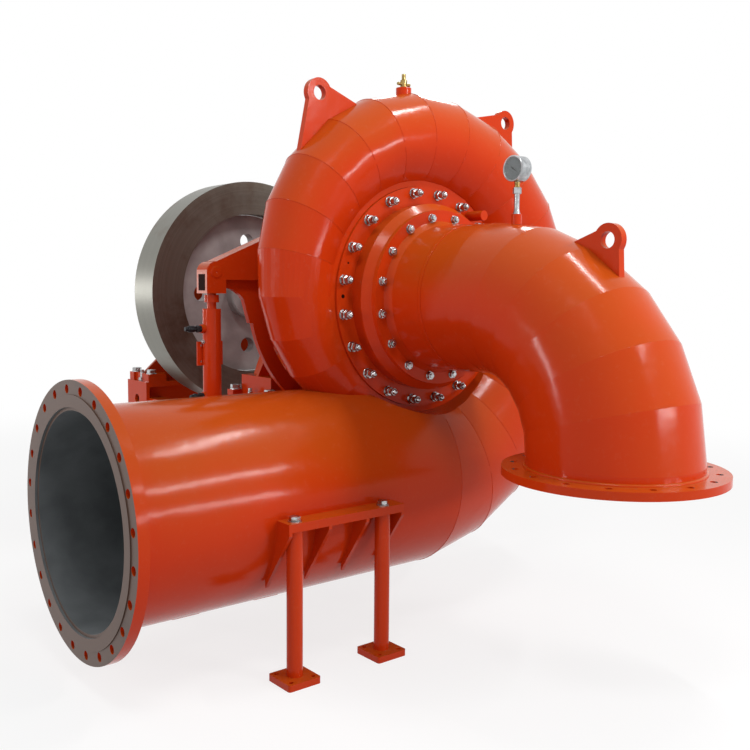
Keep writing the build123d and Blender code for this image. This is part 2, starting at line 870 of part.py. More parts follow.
# Servomotor: rod with its eye, barrel with ports and saddle, foot bracket on the inlet pipe
servo_axis = Plane(origin=(pin_x, arm_y, shaft_z), x_dir=(1, 0, 0), z_dir=(0, 0, 1))
neck_top = box_floor - neck_gap
with BuildPart() as servo_rod:
    with BuildSketch(servo_axis.offset(pin_z - eye_r + rod_r / 2)):
        Circle(rod_r)
    extrude(amount=neck_top - neck_ring_h - rod_length - pin_z + eye_r - rod_r / 2)
    with BuildSketch(servo_axis.offset(neck_top)):
        Circle(neck_ring_r)
    extrude(amount=-neck_ring_h)
    with BuildSketch(arm_plane):
        with Locations((pin_x, pin_z)):
            Circle(eye_r)
    extrude(amount=box_depth / 2 - box_side - eye_side_play, both=True)
    with BuildSketch(arm_plane):
        with Locations((pin_x, pin_z)):
            Circle(pin_r + pin_play)
    extrude(amount=box_depth, both=True, mode=Mode.SUBTRACT)
servo_rod.part.label = "servo_rod"
export_step(servo_rod.part, "parts/servo_rod.step")

with BuildPart() as servo_barrel:
    with BuildSketch(servo_axis.offset(barrel_bottom)):
        Circle(barrel_r)
    extrude(amount=barrel_top - barrel_bottom)
    for level, reach in ((port_level, port_out), (low_port_level, low_port_out)):
        with BuildSketch(Plane(origin=(pin_x, arm_y, shaft_z + level), x_dir=(0, 1, 0), z_dir=(-1, 0, 0))):
            Circle(port_r)
        extrude(amount=reach)
    with BuildSketch(arm_plane.offset(-saddle_back)):
        with Locations((pin_x, saddle_level)):
            Rectangle(saddle_w, saddle_h)
            with GridLocations(saddle_w - 2 * saddle_hole_edge, saddle_hole_gap, 2, 2):
                Circle(saddle_hole_r, mode=Mode.SUBTRACT)
    extrude(amount=saddle_t / 2, both=True)
    with BuildSketch(servo_axis.offset(barrel_bottom + head_t)):
        Circle(barrel_r - barrel_wall)
    extrude(amount=barrel_top - barrel_bottom - 2 * head_t, mode=Mode.SUBTRACT)
    with BuildSketch(servo_axis.offset(barrel_top)):
        Circle(rod_r + rod_fit)
    extrude(amount=-2 * head_t, mode=Mode.SUBTRACT)
    with BuildSketch(arm_plane):
        with Locations((pin_x, foot_pin_drop)):
            Circle(foot_eye_r)
        with Locations((pin_x, (barrel_bottom + foot_pin_drop) / 2)):
            Rectangle(foot_neck_w, barrel_bottom - foot_pin_drop)
        with Locations((pin_x, foot_pin_drop)):
            Circle(foot_pin_r + foot_pin_play, mode=Mode.SUBTRACT)
    extrude(amount=foot_eye_t / 2, both=True)
servo_barrel.part.label = "servo_barrel"
export_step(servo_barrel.part, "parts/servo_barrel.step")

cheek_far = foot_eye_t / 2 + cheek_gap + cheek_t
with BuildPart() as servo_bracket:
    for side in (-1, 1):
        with BuildSketch(arm_plane.offset(side * (cheek_far - cheek_t / 2))):
            with Locations((pin_x, foot_pin_drop)):
                Circle(foot_eye_r + cheek_margin)
            with Locations((pin_x, foot_pin_drop - cheek_foot_h / 2)):
                Rectangle(cheek_foot_w, cheek_foot_h)
        extrude(amount=cheek_t / 2, both=True)
    with BuildSketch(Plane.YZ.offset(-inlet_reach)):
        with Locations((casing_y, inlet_z)):
            Circle(pipe_r)
    extrude(amount=inlet_reach, mode=Mode.SUBTRACT)
    with BuildSketch(arm_plane):
        with Locations((pin_x, foot_pin_drop)):
            Circle(foot_pin_r)
    extrude(amount=cheek_far, both=True)
servo_bracket.part.label = "servo_bracket"
export_step(servo_bracket.part, "parts/servo_bracket.step")

# Bearing base: two cross beams, two sills and four tube posts
base_z = shaft_z + base_level
beam_bottom = base_z - beam_height
sill_start = front_stand_y + front_beam_w / 2 - web_inset
sill_end = rear_stand_y - rear_beam_w / 2 + web_inset

with BuildPart() as base_frame:
    for centre_y, width in ((front_stand_y, front_beam_w), (rear_stand_y, rear_beam_w)):
        with BuildSketch(Plane(origin=(-beam_half_x, centre_y, base_z), x_dir=(0, 1, 0), z_dir=(1, 0, 0))):
            with Locations((0, -base_top_t / 2), (0, -beam_height + base_top_t / 2)):
                Rectangle(width, base_top_t)
            with Locations((0, -beam_height / 2)):
                Rectangle(2 * (width / 2 - web_inset) + beam_web_t, beam_height)
                Rectangle(2 * (width / 2 - web_inset) - beam_web_t, beam_height - 2 * base_top_t, mode=Mode.SUBTRACT)
        extrude(amount=2 * beam_half_x)
        for end_x in (-beam_half_x, beam_half_x - beam_end_t):
            with BuildSketch(Plane(origin=(end_x, centre_y, base_z), x_dir=(0, 1, 0), z_dir=(1, 0, 0))):
                with Locations((0, -beam_height / 2)):
                    Rectangle(width, beam_height)
                with Locations((0, -beam_hole_drop)):
                    Circle(beam_hole_r, mode=Mode.SUBTRACT)
            extrude(amount=beam_end_t)
    for sill_x in (beam_end_t + sill_w / 2 - beam_half_x, beam_half_x - beam_end_t - sill_w / 2):
        with BuildSketch(Plane(origin=(sill_x, sill_start, beam_bottom + sill_h / 2), x_dir=(1, 0, 0),
                               z_dir=(0, 1, 0))):
            Rectangle(sill_w, sill_h)
            Rectangle(sill_w - 2 * plate, sill_h - 2 * plate, mode=Mode.SUBTRACT)
        extrude(amount=sill_end - sill_start)
base_frame.part.label = "base_frame"
export_step(base_frame.part, "parts/base_frame.step")

with BuildPart() as base_posts:
    for side in (-1, 1):
        for centre_y in (-anchor_y, anchor_y):
            with BuildSketch(floor_plane(foot_plate_t)):
                with Locations((side * anchor_x, centre_y)):
                    Circle(post_tube_r)
                    Circle(post_tube_r - plate, mode=Mode.SUBTRACT)
            extrude(amount=beam_bottom - foot_plate_t)
            with BuildSketch(floor_plane(0)):
                with Locations((side * anchor_x, centre_y)):
                    RectangleRounded(foot_plate_x, foot_plate_y, foot_corner_r)
                    with GridLocations(2 * anchor_spread, 0, 2, 1):
                        Circle(anchor_r, mode=Mode.SUBTRACT)
            extrude(amount=foot_plate_t)
base_posts.part.label = "base_posts"
export_step(base_posts.part, "parts/base_posts.step")


def bearing_stand(name, centre_y, body_w, body_h, foot_x, shoulder_x, pad_y):
    """A hollow stand: a low body, sides that lean in to the bearing, bolt pads and a gusset each side."""
    seat_r = bearing_r + bearing_seat
    with BuildPart() as stand:
        for width, inset, mode in ((body_w, 0, Mode.ADD), (body_w - 2 * stand_wall, stand_wall, Mode.SUBTRACT)):
            shoulder = base_level + body_h - inset
            with BuildSketch(wheel_plane(centre_y + width / 2)):
                with BuildLine():
                    Polyline(
                        (-seat_r + inset, 0),
                        (-shoulder_x + inset, shoulder),
                        (-foot_x + inset, shoulder),
                        (-foot_x + inset, base_level),
                        (foot_x - inset, base_level),
                        (foot_x - inset, shoulder),
                        (shoulder_x - inset, shoulder),
                        (seat_r - inset, 0),
                        close=True,
                    )
                make_face()
                Circle(seat_r - inset)
            extrude(amount=width, mode=mode)
        with BuildSketch(floor_plane(base_z)):
            with Locations((0, centre_y)):
                with GridLocations(2 * pad_x, 2 * pad_y, 2, 2):
                    Rectangle(pad_length, pad_w)
        extrude(amount=pad_h)
        for flank in (-1, 1):
            with BuildSketch(wheel_plane(centre_y + gusset_t / 2)):
                with BuildLine():
                    Polyline(
                        (flank * (shoulder_x - stand_wall), base_level + body_h - stand_wall / 2),
                        (flank * foot_x, base_level + body_h - stand_wall / 2),
                        (flank * (shoulder_x - stand_wall), base_level + body_h + gusset_rise),
                        close=True,
                    )
                make_face()
            extrude(amount=gusset_t)
        with BuildSketch(wheel_plane(centre_y + body_w / 2)):
            Circle(bearing_r)
        extrude(amount=body_w, mode=Mode.SUBTRACT)
    stand.part.label = name
    export_step(stand.part, f"parts/{name}.step")


def bearing_housing(name, centre_y, body_w):
    """A flanged bearing housing through both walls of its stand."""
    length = body_w + 2 * bearing_out
    with BuildPart() as housing:
        with BuildSketch(wheel_plane(centre_y + length / 2)):
            Circle(bearing_r)
        extrude(amount=length)
        for side in (-1, 1):
            with BuildSketch(wheel_plane(centre_y + side * body_w / 2)):
                Circle(bearing_flange_r)
            extrude(amount=-side * bearing_flange_t)
        with BuildSketch(wheel_plane(centre_y + length)):
            Circle(shaft_r + bearing_fit)
        extrude(amount=2 * length, mode=Mode.SUBTRACT)
    housing.part.label = name
    export_step(housing.part, f"parts/{name}.step")


bearing_stand("front_stand", front_stand_y, front_body_w, front_body_h, front_body_x, front_shoulder_x, front_pad_y)
bearing_stand("rear_stand", rear_stand_y, rear_body_w, rear_body_h, rear_body_x, rear_shoulder_x, rear_pad_y)
bearing_housing("front_bearing", front_stand_y, front_body_w)
bearing_housing("rear_bearing", rear_stand_y, rear_body_w)

# Rotor
with BuildPart() as shaft:
    with BuildSketch(wheel_plane(shaft_back)):
        Circle(shaft_r)
    extrude(amount=shaft_back - shaft_front)
    with BuildSketch(wheel_plane(shaft_back)):
        Circle(coupling_r)
        with PolarLocations(coupling_pcd / 2, coupling_holes):
            Circle(coupling_hole_r, mode=Mode.SUBTRACT)
    extrude(amount=coupling_t)
shaft.part.label = "shaft"
export_step(shaft.part, "parts/shaft.step")

with BuildPart() as flywheel:
    with BuildSketch(wheel_plane(flywheel_y + flywheel_w / 2)):
        Circle(flywheel_r)
        Circle((flywheel_r - flywheel_rim), mode=Mode.SUBTRACT)
    extrude(amount=flywheel_w)
    with BuildSketch(wheel_plane(flywheel_y + web_t / 2)):
        Circle((flywheel_r - flywheel_rim))
        with PolarLocations(web_hole_circle, web_holes):
            Circle(web_hole_r, mode=Mode.SUBTRACT)
    extrude(amount=web_t)
    with BuildSketch(wheel_plane(flywheel_y + flywheel_w / 2)):
        Circle(wheel_hub_r)
    extrude(amount=flywheel_w)
    with BuildSketch(wheel_plane(flywheel_y + flywheel_w)):
        Circle(shaft_r)
    extrude(amount=2 * flywheel_w, mode=Mode.SUBTRACT)
flywheel.part.label = "flywheel"
export_step(flywheel.part, "parts/flywheel.step")

runner_r = neck_r - plate - runner_play
runner_back = cover_back - runner_back_play
band_top = -(rim_half - crown_t)
band_end = band_top - runner_band_length
crown_edge = runner_back - runner_crown_t

with BuildPart() as blade_channel:
    with BuildSketch(Plane(origin=(0, casing_y, shaft_z), x_dir=(1, 0, 0), z_dir=(0, 0, 1))):
        with BuildLine():
            ThreePointArc((runner_r - blade_tip_inset, crown_edge + 1), crown_waist, (runner_nose_r - 1, runner_nose))
            Polyline(
                (runner_nose_r - 1, runner_nose),
                (runner_r - runner_band_t + 1, band_end),
                (runner_r - runner_band_t + 1, band_top - 1),
                (runner_r - blade_tip_inset, band_top - 1),
                (runner_r - blade_tip_inset, crown_edge + 1),
            )
        make_face()
    revolve(axis=Axis((0, casing_y, shaft_z), (0, 1, 0)))


def blade_point(radius, angle):
    """A point of a blade's outline, by its radius and its angle round the shaft."""
    return (radius * cos(radians(angle)), radius * sin(radians(angle)))


with BuildPart() as runner:
    with BuildSketch(wheel_plane(casing_y + crown_edge + 1)):
        with PolarLocations(0, blade_count):
            with BuildLine():
                ThreePointArc(
                    blade_point(runner_r, 0),
                    blade_point(blade_mid_r, blade_mid_angle),
                    blade_point(shaft_r, blade_wrap),
                )
                ThreePointArc(
                    blade_point(runner_r, blade_t_angle),
                    blade_point(blade_mid_r, blade_mid_angle + 2 * blade_t_angle),
                    blade_point(shaft_r, blade_wrap + 4 * blade_t_angle),
                )
                Line(blade_point(runner_r, 0), blade_point(runner_r, blade_t_angle))
                Line(blade_point(shaft_r, blade_wrap), blade_point(shaft_r, blade_wrap + 4 * blade_t_angle))
            make_face()
    extrude(amount=crown_edge - runner_nose + 2)
    add(blade_channel.part, mode=Mode.INTERSECT)
    with BuildSketch(Plane(origin=(0, casing_y, shaft_z), x_dir=(1, 0, 0), z_dir=(0, 0, 1))):
        with BuildLine():
            Polyline(
                (runner_nose_r, runner_nose),
                (0, runner_nose),
                (0, shaft_front - casing_y),
                (shaft_r, shaft_front - casing_y),
                (shaft_r, runner_back),
                (runner_r, runner_back),
                (runner_r, crown_edge),
                (runner_r - blade_tip_inset, crown_edge),
            )
            ThreePointArc((runner_r - blade_tip_inset, crown_edge), crown_waist, (runner_nose_r, runner_nose))
        make_face()
    revolve(axis=Axis((0, casing_y, shaft_z), (0, 1, 0)))
    with BuildSketch(Plane(origin=(0, casing_y, shaft_z), x_dir=(1, 0, 0), z_dir=(0, 0, 1))):
        with BuildLine():
            Polyline(
                (runner_r - runner_band_t, band_top),
                (runner_r, band_top),
                (runner_r, band_end),
                (runner_r - runner_band_t, band_end),
                close=True,
            )
        make_face()
    revolve(axis=Axis((0, casing_y, shaft_z), (0, 1, 0)))
runner.part.label = "runner"
export_step(runner.part, "parts/runner.step")

# Support brackets and posts of the inlet pipe
bracket_z = shaft_z - bracket_drop
for name, side in (("near", -1), ("far", 1)):
    outer_y = casing_y + side * (pipe_r + bracket_edge)
    root_y = casing_y + side * (pipe_r - bracket_root)
    post_y = casing_y + side * (pipe_r + post_out)
    with BuildPart() as pipe_bracket:
        with BuildSketch(floor_plane(bracket_z - bracket_t)):
            with Locations(((bracket_x1 + bracket_x2) / 2, (outer_y + root_y) / 2)):
                Rectangle(bracket_x2 - bracket_x1, bracket_edge + bracket_root)
        extrude(amount=bracket_t)
        for rib in range(rib_count):
            rib_x = bracket_x1 + rib * (bracket_x2 - bracket_x1 - rib_t) / (rib_count - 1)
            with BuildSketch(Plane.YZ.offset(rib_x)):
                with BuildLine():
                    Polyline(
                        (outer_y, bracket_z - bracket_t),
                        (outer_y, bracket_z - bracket_t - rib_end),
                        (root_y, bracket_z - bracket_t - rib_foot),
                        (root_y, bracket_z - bracket_t),
                        close=True,
                    )
                make_face()
            extrude(amount=rib_t)
        with BuildSketch(Plane.YZ.offset(-inlet_reach)):
            with Locations((casing_y, inlet_z)):
                Circle(pipe_r)
        extrude(amount=inlet_reach, mode=Mode.SUBTRACT)
    pipe_bracket.part.label = f"pipe_bracket_{name}"
    export_step(pipe_bracket.part, f"parts/pipe_bracket_{name}.step")
    with BuildPart() as pipe_posts:
        for x in post_x:
            with BuildSketch(floor_plane(foot_plate_t)):
                with Locations((x, post_y)):
                    Circle(post_r)
            extrude(amount=bracket_z - bracket_t - foot_plate_t)
            with BuildSketch(floor_plane(0)):
                with Locations((x, post_y)):
                    RectangleRounded(post_foot_w, post_foot_w, post_foot_r)
                    with GridLocations(2 * post_bolt, 2 * post_bolt, 2, 2):
                        Circle(post_hole_r, mode=Mode.SUBTRACT)
            extrude(amount=foot_plate_t)
    pipe_posts.part.label = f"pipe_posts_{name}"
    export_step(pipe_posts.part, f"parts/pipe_posts_{name}.step")

# Pressure gauge, its dial towards the inlet side
gauge_z = shaft_z + gauge_level
with BuildPart() as pressure_gauge:
    with BuildSketch(Plane(origin=(-gauge_depth / 2, gauge_y, gauge_z), x_dir=(0, 1, 0), z_dir=(1, 0, 0))):
        Circle(gauge_r)
    extrude(amount=gauge_depth)
    with BuildSketch(floor_plane(shaft_z + gauge_boss_top)):
        with Locations((0, gauge_y)):
            Circle(gauge_stem_r)
    extrude(amount=gauge_level - gauge_boss_top)
    with BuildSketch(floor_plane(shaft_z + gauge_nut_low)):
        with Locations((0, gauge_y)):
            RegularPolygon(gauge_nut_r, 6)
    extrude(amount=gauge_nut_high - gauge_nut_low)
pressure_gauge.part.label = "pressure_gauge"
export_step(pressure_gauge.part, "parts/pressure_gauge.step")

# Air cock on the casing's crest
cock_z = crest_z + cock_boss_out
with BuildPart() as air_cock:
    with BuildSketch(floor_plane(cock_z)):
        with Locations((0, casing_y)):
            Circle(cock_body_r)
    extrude(amount=cock_body_h)
    with BuildSketch(floor_plane(cock_z)):
        with Locations((0, casing_y)):
            Circle(cock_stem_r)
    extrude(amount=cock_height)
    with BuildSketch(Plane(origin=(-cock_arm, casing_y, cock_z + cock_body_h / 2), x_dir=(0, 1, 0), z_dir=(1, 0, 0))):
        Circle(cock_arm_r)
    extrude(amount=2 * cock_arm)
air_cock.part.label = "air_cock"
export_step(air_cock.part, "parts/air_cock.step")
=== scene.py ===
# Looks of the water turbine: enamel and metal finishes, fasteners, weld beads, gauge and fittings.
import json
import math

import bmesh
import bpy
from mathutils import Matrix, Vector


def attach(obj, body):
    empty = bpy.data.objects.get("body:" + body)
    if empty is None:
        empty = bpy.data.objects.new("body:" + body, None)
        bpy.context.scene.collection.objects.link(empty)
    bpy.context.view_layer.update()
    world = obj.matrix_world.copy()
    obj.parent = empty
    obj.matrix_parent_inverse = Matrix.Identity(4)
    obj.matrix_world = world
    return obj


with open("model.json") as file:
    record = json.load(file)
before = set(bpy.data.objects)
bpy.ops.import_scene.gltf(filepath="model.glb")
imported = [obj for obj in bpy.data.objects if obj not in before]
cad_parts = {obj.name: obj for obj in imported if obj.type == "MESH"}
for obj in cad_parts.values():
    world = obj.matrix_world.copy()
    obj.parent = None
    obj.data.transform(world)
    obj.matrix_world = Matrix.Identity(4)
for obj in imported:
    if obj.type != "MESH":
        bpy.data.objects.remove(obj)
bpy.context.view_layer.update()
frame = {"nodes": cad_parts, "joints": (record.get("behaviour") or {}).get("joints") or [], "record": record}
nodes = frame["nodes"]

# Main places from the record's mounts and joints, in metres: the casing's middle plane, the inlet pipe's
# axis, the servomotor's line and the middle plane of the regulating ring and its arm
mounts = {mount["name"]: mount["pos_m"] for mount in frame["record"]["mounts"]}
pivots = {joint["name"]: joint.get("pos_m") for joint in frame["joints"]}
shaftZ = mounts["shaft_coupling"][2]
casingY, inletZ = mounts["inlet_flange"][1:]
barrelX, armY = pivots["barrel_tilt"][:2]

# Further places taken over from the CAD source
baseZ = 0.898  # top of the bearing base
ringR = 0.503  # rim of the stay ring
pipeR = 0.410
pipeStartX = -1.4755  # where the pipe leaves its flange
coverFaceY = casingY - 0.152
collarFaceY = casingY - 0.2646
elbowY = -1.8176  # where the elbow's bend starts
elbowZ = 0.834  # centre of the bend
elbowBend = 0.566
draftY = elbowY - elbowBend
yokeZ = shaftZ + 0.099
webFaceY = 0.146 - 0.030  # flywheel's middle plane less half its web
shaftCentre = Vector((0, casingY, shaftZ))


def linearColour(hexText):
    channels = [int(hexText[i:i + 2], 16) / 255 for i in (1, 3, 5)]
    linear = [c / 12.92 if c <= 0.04045 else ((c + 0.055) / 1.055) ** 2.4 for c in channels]
    return (*linear, 1.0)


def addNode(tree, kind, inputs=None, **settings):
    node = tree.nodes.new(kind)
    for name, value in settings.items():
        setattr(node, name, value)
    for socket, value in (inputs or {}).items():
        if isinstance(value, bpy.types.NodeSocket):
            tree.links.new(value, node.inputs[socket])
        else:
            node.inputs[socket].default_value = value
    return node


def startMaterial(name):
    material = bpy.data.materials.new(name)
    material.use_nodes = True
    material.node_tree.nodes.clear()
    place = addNode(material.node_tree, "ShaderNodeTexCoord").outputs["Object"]
    return material, material.node_tree, place


def endMaterial(tree, shader):
    addNode(tree, "ShaderNodeOutputMaterial", {"Surface": shader.outputs[0]})


# Alkyd enamel sprayed over primer on rolled plate: glossy, faint orange peel, plates slightly wavy, with fine
# specks of dust; a duller orange on faces that look up is painted light, redder on upright faces and below is
# painted shade
enamelLook = {
    # light is a painted lit tone for faces that look up; deep and under are painted shade tones for upright
    # faces and faces below
    "light": "#B64912", "deep": "#CA370C", "under": "#BC300A", "dust": "#B98468",
    "lightLean": (0.2, 1.3), "deepLean": (-0.5, 0.45), "leanDrift": 0.8, "dustMost": 0.10,
    "roughness": (0.12, 0.22), "specular": 0.13,
    "peelMm": 3.0, "waveMm": 90.0, "tintMm": 420.0, "specksPerMetre": 46.0,
}


def makeEnamel(name, look):
    material, tree, place = startMaterial(name)
    upward = addNode(tree, "ShaderNodeSeparateXYZ", {
        0: addNode(tree, "ShaderNodeNewGeometry").outputs["Normal"],
    }).outputs["Z"]
    tint = addNode(tree, "ShaderNodeTexNoise", {
        "Vector": place, "Scale": 1000 / look["tintMm"], "Detail": 3.0,
    })
    drift = addNode(tree, "ShaderNodeMath", {
        0: tint.outputs["Fac"], 1: look["leanDrift"],
    }, operation="MULTIPLY")
    # The faces' lean, drifting at random, mixes the painted light and shade: lit tone on faces that look up,
    # shade tones on upright faces and below
    lean = addNode(tree, "ShaderNodeMath", {0: upward, 1: drift.outputs[0]}, operation="ADD")
    paintedLightShare = addNode(tree, "ShaderNodeMapRange", {
        "Value": lean.outputs[0], "From Min": look["lightLean"][0], "From Max": look["lightLean"][1],
    }, interpolation_type="SMOOTHSTEP")
    shaded = addNode(tree, "ShaderNodeMapRange", {
        "Value": lean.outputs[0], "From Min": look["deepLean"][0], "From Max": look["deepLean"][1],
    }, interpolation_type="SMOOTHSTEP")
    side = addNode(tree, "ShaderNodeMix", {
        0: shaded.outputs[0], 6: linearColour(look["under"]), 7: linearColour(look["deep"]),
    }, data_type="RGBA")
    paint = addNode(tree, "ShaderNodeMix", {
        0: paintedLightShare.outputs[0], 6: side.outputs[2], 7: linearColour(look["light"]),
    }, data_type="RGBA")
    speck = addNode(tree, "ShaderNodeTexNoise", {
        "Vector": place, "Scale": look["specksPerMetre"], "Detail": 6.0, "Roughness": 0.7,
    })
    dusty = addNode(tree, "ShaderNodeMapRange", {
        "Value": speck.outputs["Fac"], "From Min": 0.56, "From Max": 0.8, "To Max": look["dustMost"],
    })
    surface = addNode(tree, "ShaderNodeMix", {
        0: dusty.outputs[0], 6: paint.outputs[2], 7: linearColour(look["dust"]),
    }, data_type="RGBA")
    gloss = addNode(tree, "ShaderNodeMapRange", {
        "Value": speck.outputs["Fac"], "From Min": 0.3, "From Max": 0.75,
        "To Min": look["roughness"][0], "To Max": look["roughness"][1],
    })
    wave = addNode(tree, "ShaderNodeTexNoise", {
        "Vector": place, "Scale": 1000 / look["waveMm"], "Detail": 2.0,
    })
    peel = addNode(tree, "ShaderNodeTexNoise", {
        "Vector": place, "Scale": 1000 / look["peelMm"], "Detail": 1.0,
    })
    plateBump = addNode(tree, "ShaderNodeBump", {
        "Strength": 0.30, "Distance": 0.004, "Height": wave.outputs["Fac"],
    })
    peelBump = addNode(tree, "ShaderNodeBump", {
        "Strength": 0.10, "Distance": 0.0006, "Height": peel.outputs["Fac"], "Normal": plateBump.outputs[0],
    })
    shader = addNode(tree, "ShaderNodeBsdfPrincipled", {
        "Base Color": surface.outputs[2], "Roughness": gloss.outputs[0], "Normal": peelBump.outputs[0],
        "Specular IOR Level": look["specular"],
    })
    endMaterial(tree, shader)
    return material


# Grey zinc-rich primer, rolled on inside the water way: dull, blotchy, rubbed by grinding
primerLook = {
    "light": "#707476", "deep": "#5A5E60", "roughness": (0.42, 0.7), "specular": 0.4,
    "blotchMm": 160.0, "grainMm": 5.0,
}
# Purple-grey shop primer on the flywheel's web: thin, faintly cloudy
webLook = {
    "light": "#A29A99", "deep": "#857D7C", "roughness": (0.34, 0.55), "specular": 0.4,
    "blotchMm": 130.0, "grainMm": 4.0,
}
# Moulded black nylon of the hose fittings: satin, fine grain
nylonLook = {
    "light": "#1C1C20", "deep": "#0E0E10", "roughness": (0.3, 0.5), "specular": 0.2,
    "blotchMm": 30.0, "grainMm": 2.0,
}
# Grey enamelled dial sheet: smooth and even
dialLook = {
    "light": "#6A7073", "deep": "#5C6265", "roughness": (0.25, 0.35), "specular": 0.4,
    "blotchMm": 40.0, "grainMm": 3.0,
}
# Black lacquer of the dial's needle and marks: flat black
needleLook = {
    "light": "#101112", "deep": "#08080A", "roughness": (0.35, 0.5), "specular": 0.1,
    "blotchMm": 20.0, "grainMm": 2.0,
}
# Painted highlight on the end face of the regulating arm: pale pink enamel, patchy, in place of the light the
# end catches
paintedHighlightLook = {
    "light": "#E0937F", "deep": "#CF6A50", "roughness": (0.25, 0.4), "specular": 0.4,
    "blotchMm": 12.0, "grainMm": 3.0,
}
# Enamel in full shadow at the bottom of small openings: nearly black, no shine
hollowLook = {
    "light": "#2A0D06", "deep": "#1A0703", "roughness": (0.6, 0.8), "specular": 0.05,
    "blotchMm": 20.0, "grainMm": 2.0,
}


def makeCoat(name, look):
    material, tree, place = startMaterial(name)
    blotch = addNode(tree, "ShaderNodeTexNoise", {
        "Vector": place, "Scale": 1000 / look["blotchMm"], "Detail": 5.0,
    })
    spread = addNode(tree, "ShaderNodeMapRange", {
        "Value": blotch.outputs["Fac"], "From Min": 0.32, "From Max": 0.68,
    })
    colour = addNode(tree, "ShaderNodeMix", {
        0: spread.outputs[0], 6: linearColour(look["deep"]), 7: linearColour(look["light"]),
    }, data_type="RGBA")
    gloss = addNode(tree, "ShaderNodeMapRange", {
        "Value": blotch.outputs["Fac"], "To Min": look["roughness"][0], "To Max": look["roughness"][1],
    })
    grain = addNode(tree, "ShaderNodeTexNoise", {
        "Vector": place, "Scale": 1000 / look["grainMm"], "Detail": 3.0,
    })
    bump = addNode(tree, "ShaderNodeBump", {
        "Strength": 0.18, "Distance": 0.0008, "Height": grain.outputs["Fac"],
    })
    shader = addNode(tree, "ShaderNodeBsdfPrincipled", {
        "Base Color": colour.outputs[2], "Roughness": gloss.outputs[0], "Normal": bump.outputs[0],
        "Specular IOR Level": look["specular"],
    })
    endMaterial(tree, shader)
    return material


# Steel turned on a lathe about the shaft: fine rings, bare and lightly rusted where it was handled.
# Real grooves are under a millimetre apart; they are drawn a few times coarser to show
turnedLook = {
    "light": "#8F8E84", "deep": "#62605A", "stain": "#5E4632", "stainFrom": 0.52,
    "roughness": (0.28, 0.5), "metallic": 0.85, "grooveMm": 4.0, "cloudsPerMetre": 3.4,
}
# Sides of the flywheel's rim: turned steel gone brown under old oil, and darker still as a painted reflection
# of dark surroundings
rimSideLook = {
    "light": "#7A746A", "deep": "#524A42", "stain": "#4A3222", "stainFrom": 0.46,
    "roughness": (0.3, 0.5), "metallic": 0.7, "grooveMm": 5.0, "cloudsPerMetre": 3.4,
}
# Face of the inlet flange: turned steel under a brown rust-preventing film, which hides the metal
flangeFaceLook = {
    "light": "#62483B", "deep": "#47342B", "stain": "#3A2A22", "stainFrom": 0.5,
    "roughness": (0.38, 0.55), "metallic": 0.10, "grooveMm": 3.0, "cloudsPerMetre": 3.4,
}


def makeTurnedSteel(name, look, axisPoint, axisMask):
    # The rings run about the axis through axisPoint; the mask has 1 for the two directions across it
    material, tree, place = startMaterial(name)
    centred = addNode(tree, "ShaderNodeVectorMath", {0: place, 1: axisPoint}, operation="SUBTRACT")
    across = addNode(tree, "ShaderNodeVectorMath", {0: centred.outputs[0], 1: axisMask}, operation="MULTIPLY")
    along = addNode(tree, "ShaderNodeVectorMath", {
        0: centred.outputs[0], 1: tuple(1 - m for m in axisMask),
    }, operation="DOT_PRODUCT")
    radius = addNode(tree, "ShaderNodeVectorMath", {0: across.outputs[0]}, operation="LENGTH")
    lathe = addNode(tree, "ShaderNodeCombineXYZ", {
        "X": radius.outputs["Value"], "Y": along.outputs["Value"],
    })
    groove = addNode(tree, "ShaderNodeTexNoise", {
        "Vector": lathe.outputs[0], "Scale": 1000 / look["grooveMm"], "Detail": 4.0, "Roughness": 0.75,
    })
    cloud = addNode(tree, "ShaderNodeTexNoise", {
        "Vector": place, "Scale": look["cloudsPerMetre"], "Detail": 7.0, "Roughness": 0.62,
    })
    metal = addNode(tree, "ShaderNodeMix", {
        0: groove.outputs["Fac"], 6: linearColour(look["deep"]), 7: linearColour(look["light"]),
    }, data_type="RGBA")
    rusty = addNode(tree, "ShaderNodeMapRange", {
        "Value": cloud.outputs["Fac"], "From Min": look["stainFrom"], "From Max": look["stainFrom"] + 0.22,
        "To Max": 0.75,
    })
    colour = addNode(tree, "ShaderNodeMix", {
        0: rusty.outputs[0], 6: metal.outputs[2], 7: linearColour(look["stain"]),
    }, data_type="RGBA")
    gloss = addNode(tree, "ShaderNodeMapRange", {
        "Value": groove.outputs["Fac"], "To Min": look["roughness"][0], "To Max": look["roughness"][1],
    })
    bump = addNode(tree, "ShaderNodeBump", {
        "Strength": 0.25, "Distance": 0.0006, "Height": groove.outputs["Fac"],
    })
    shader = addNode(tree, "ShaderNodeBsdfPrincipled", {
        "Base Color": colour.outputs[2], "Roughness": gloss.outputs[0], "Normal": bump.outputs[0],
        "Metallic": look["metallic"],
    })
    endMaterial(tree, shader)
    return material


# Zinc-plated steel of bolts and nuts: bright, faintly cloudy
zincLook = {"light": "#C9CACC", "deep": "#8E8C8A", "roughness": (0.16, 0.34), "cloudMm": 14.0}
# Cast and turned brass of the air cock and the gauge's neck: dulled by handling
brassLook = {"light": "#B0965F", "deep": "#7A6334", "roughness": (0.2, 0.42), "cloudMm": 18.0}
# Brushed stainless steel of the gauge's case, bezel and union, and of the cap nuts: soft shine
stainlessLook = {"light": "#BFC1C3", "deep": "#8D9092", "roughness": (0.2, 0.36), "cloudMm": 26.0}


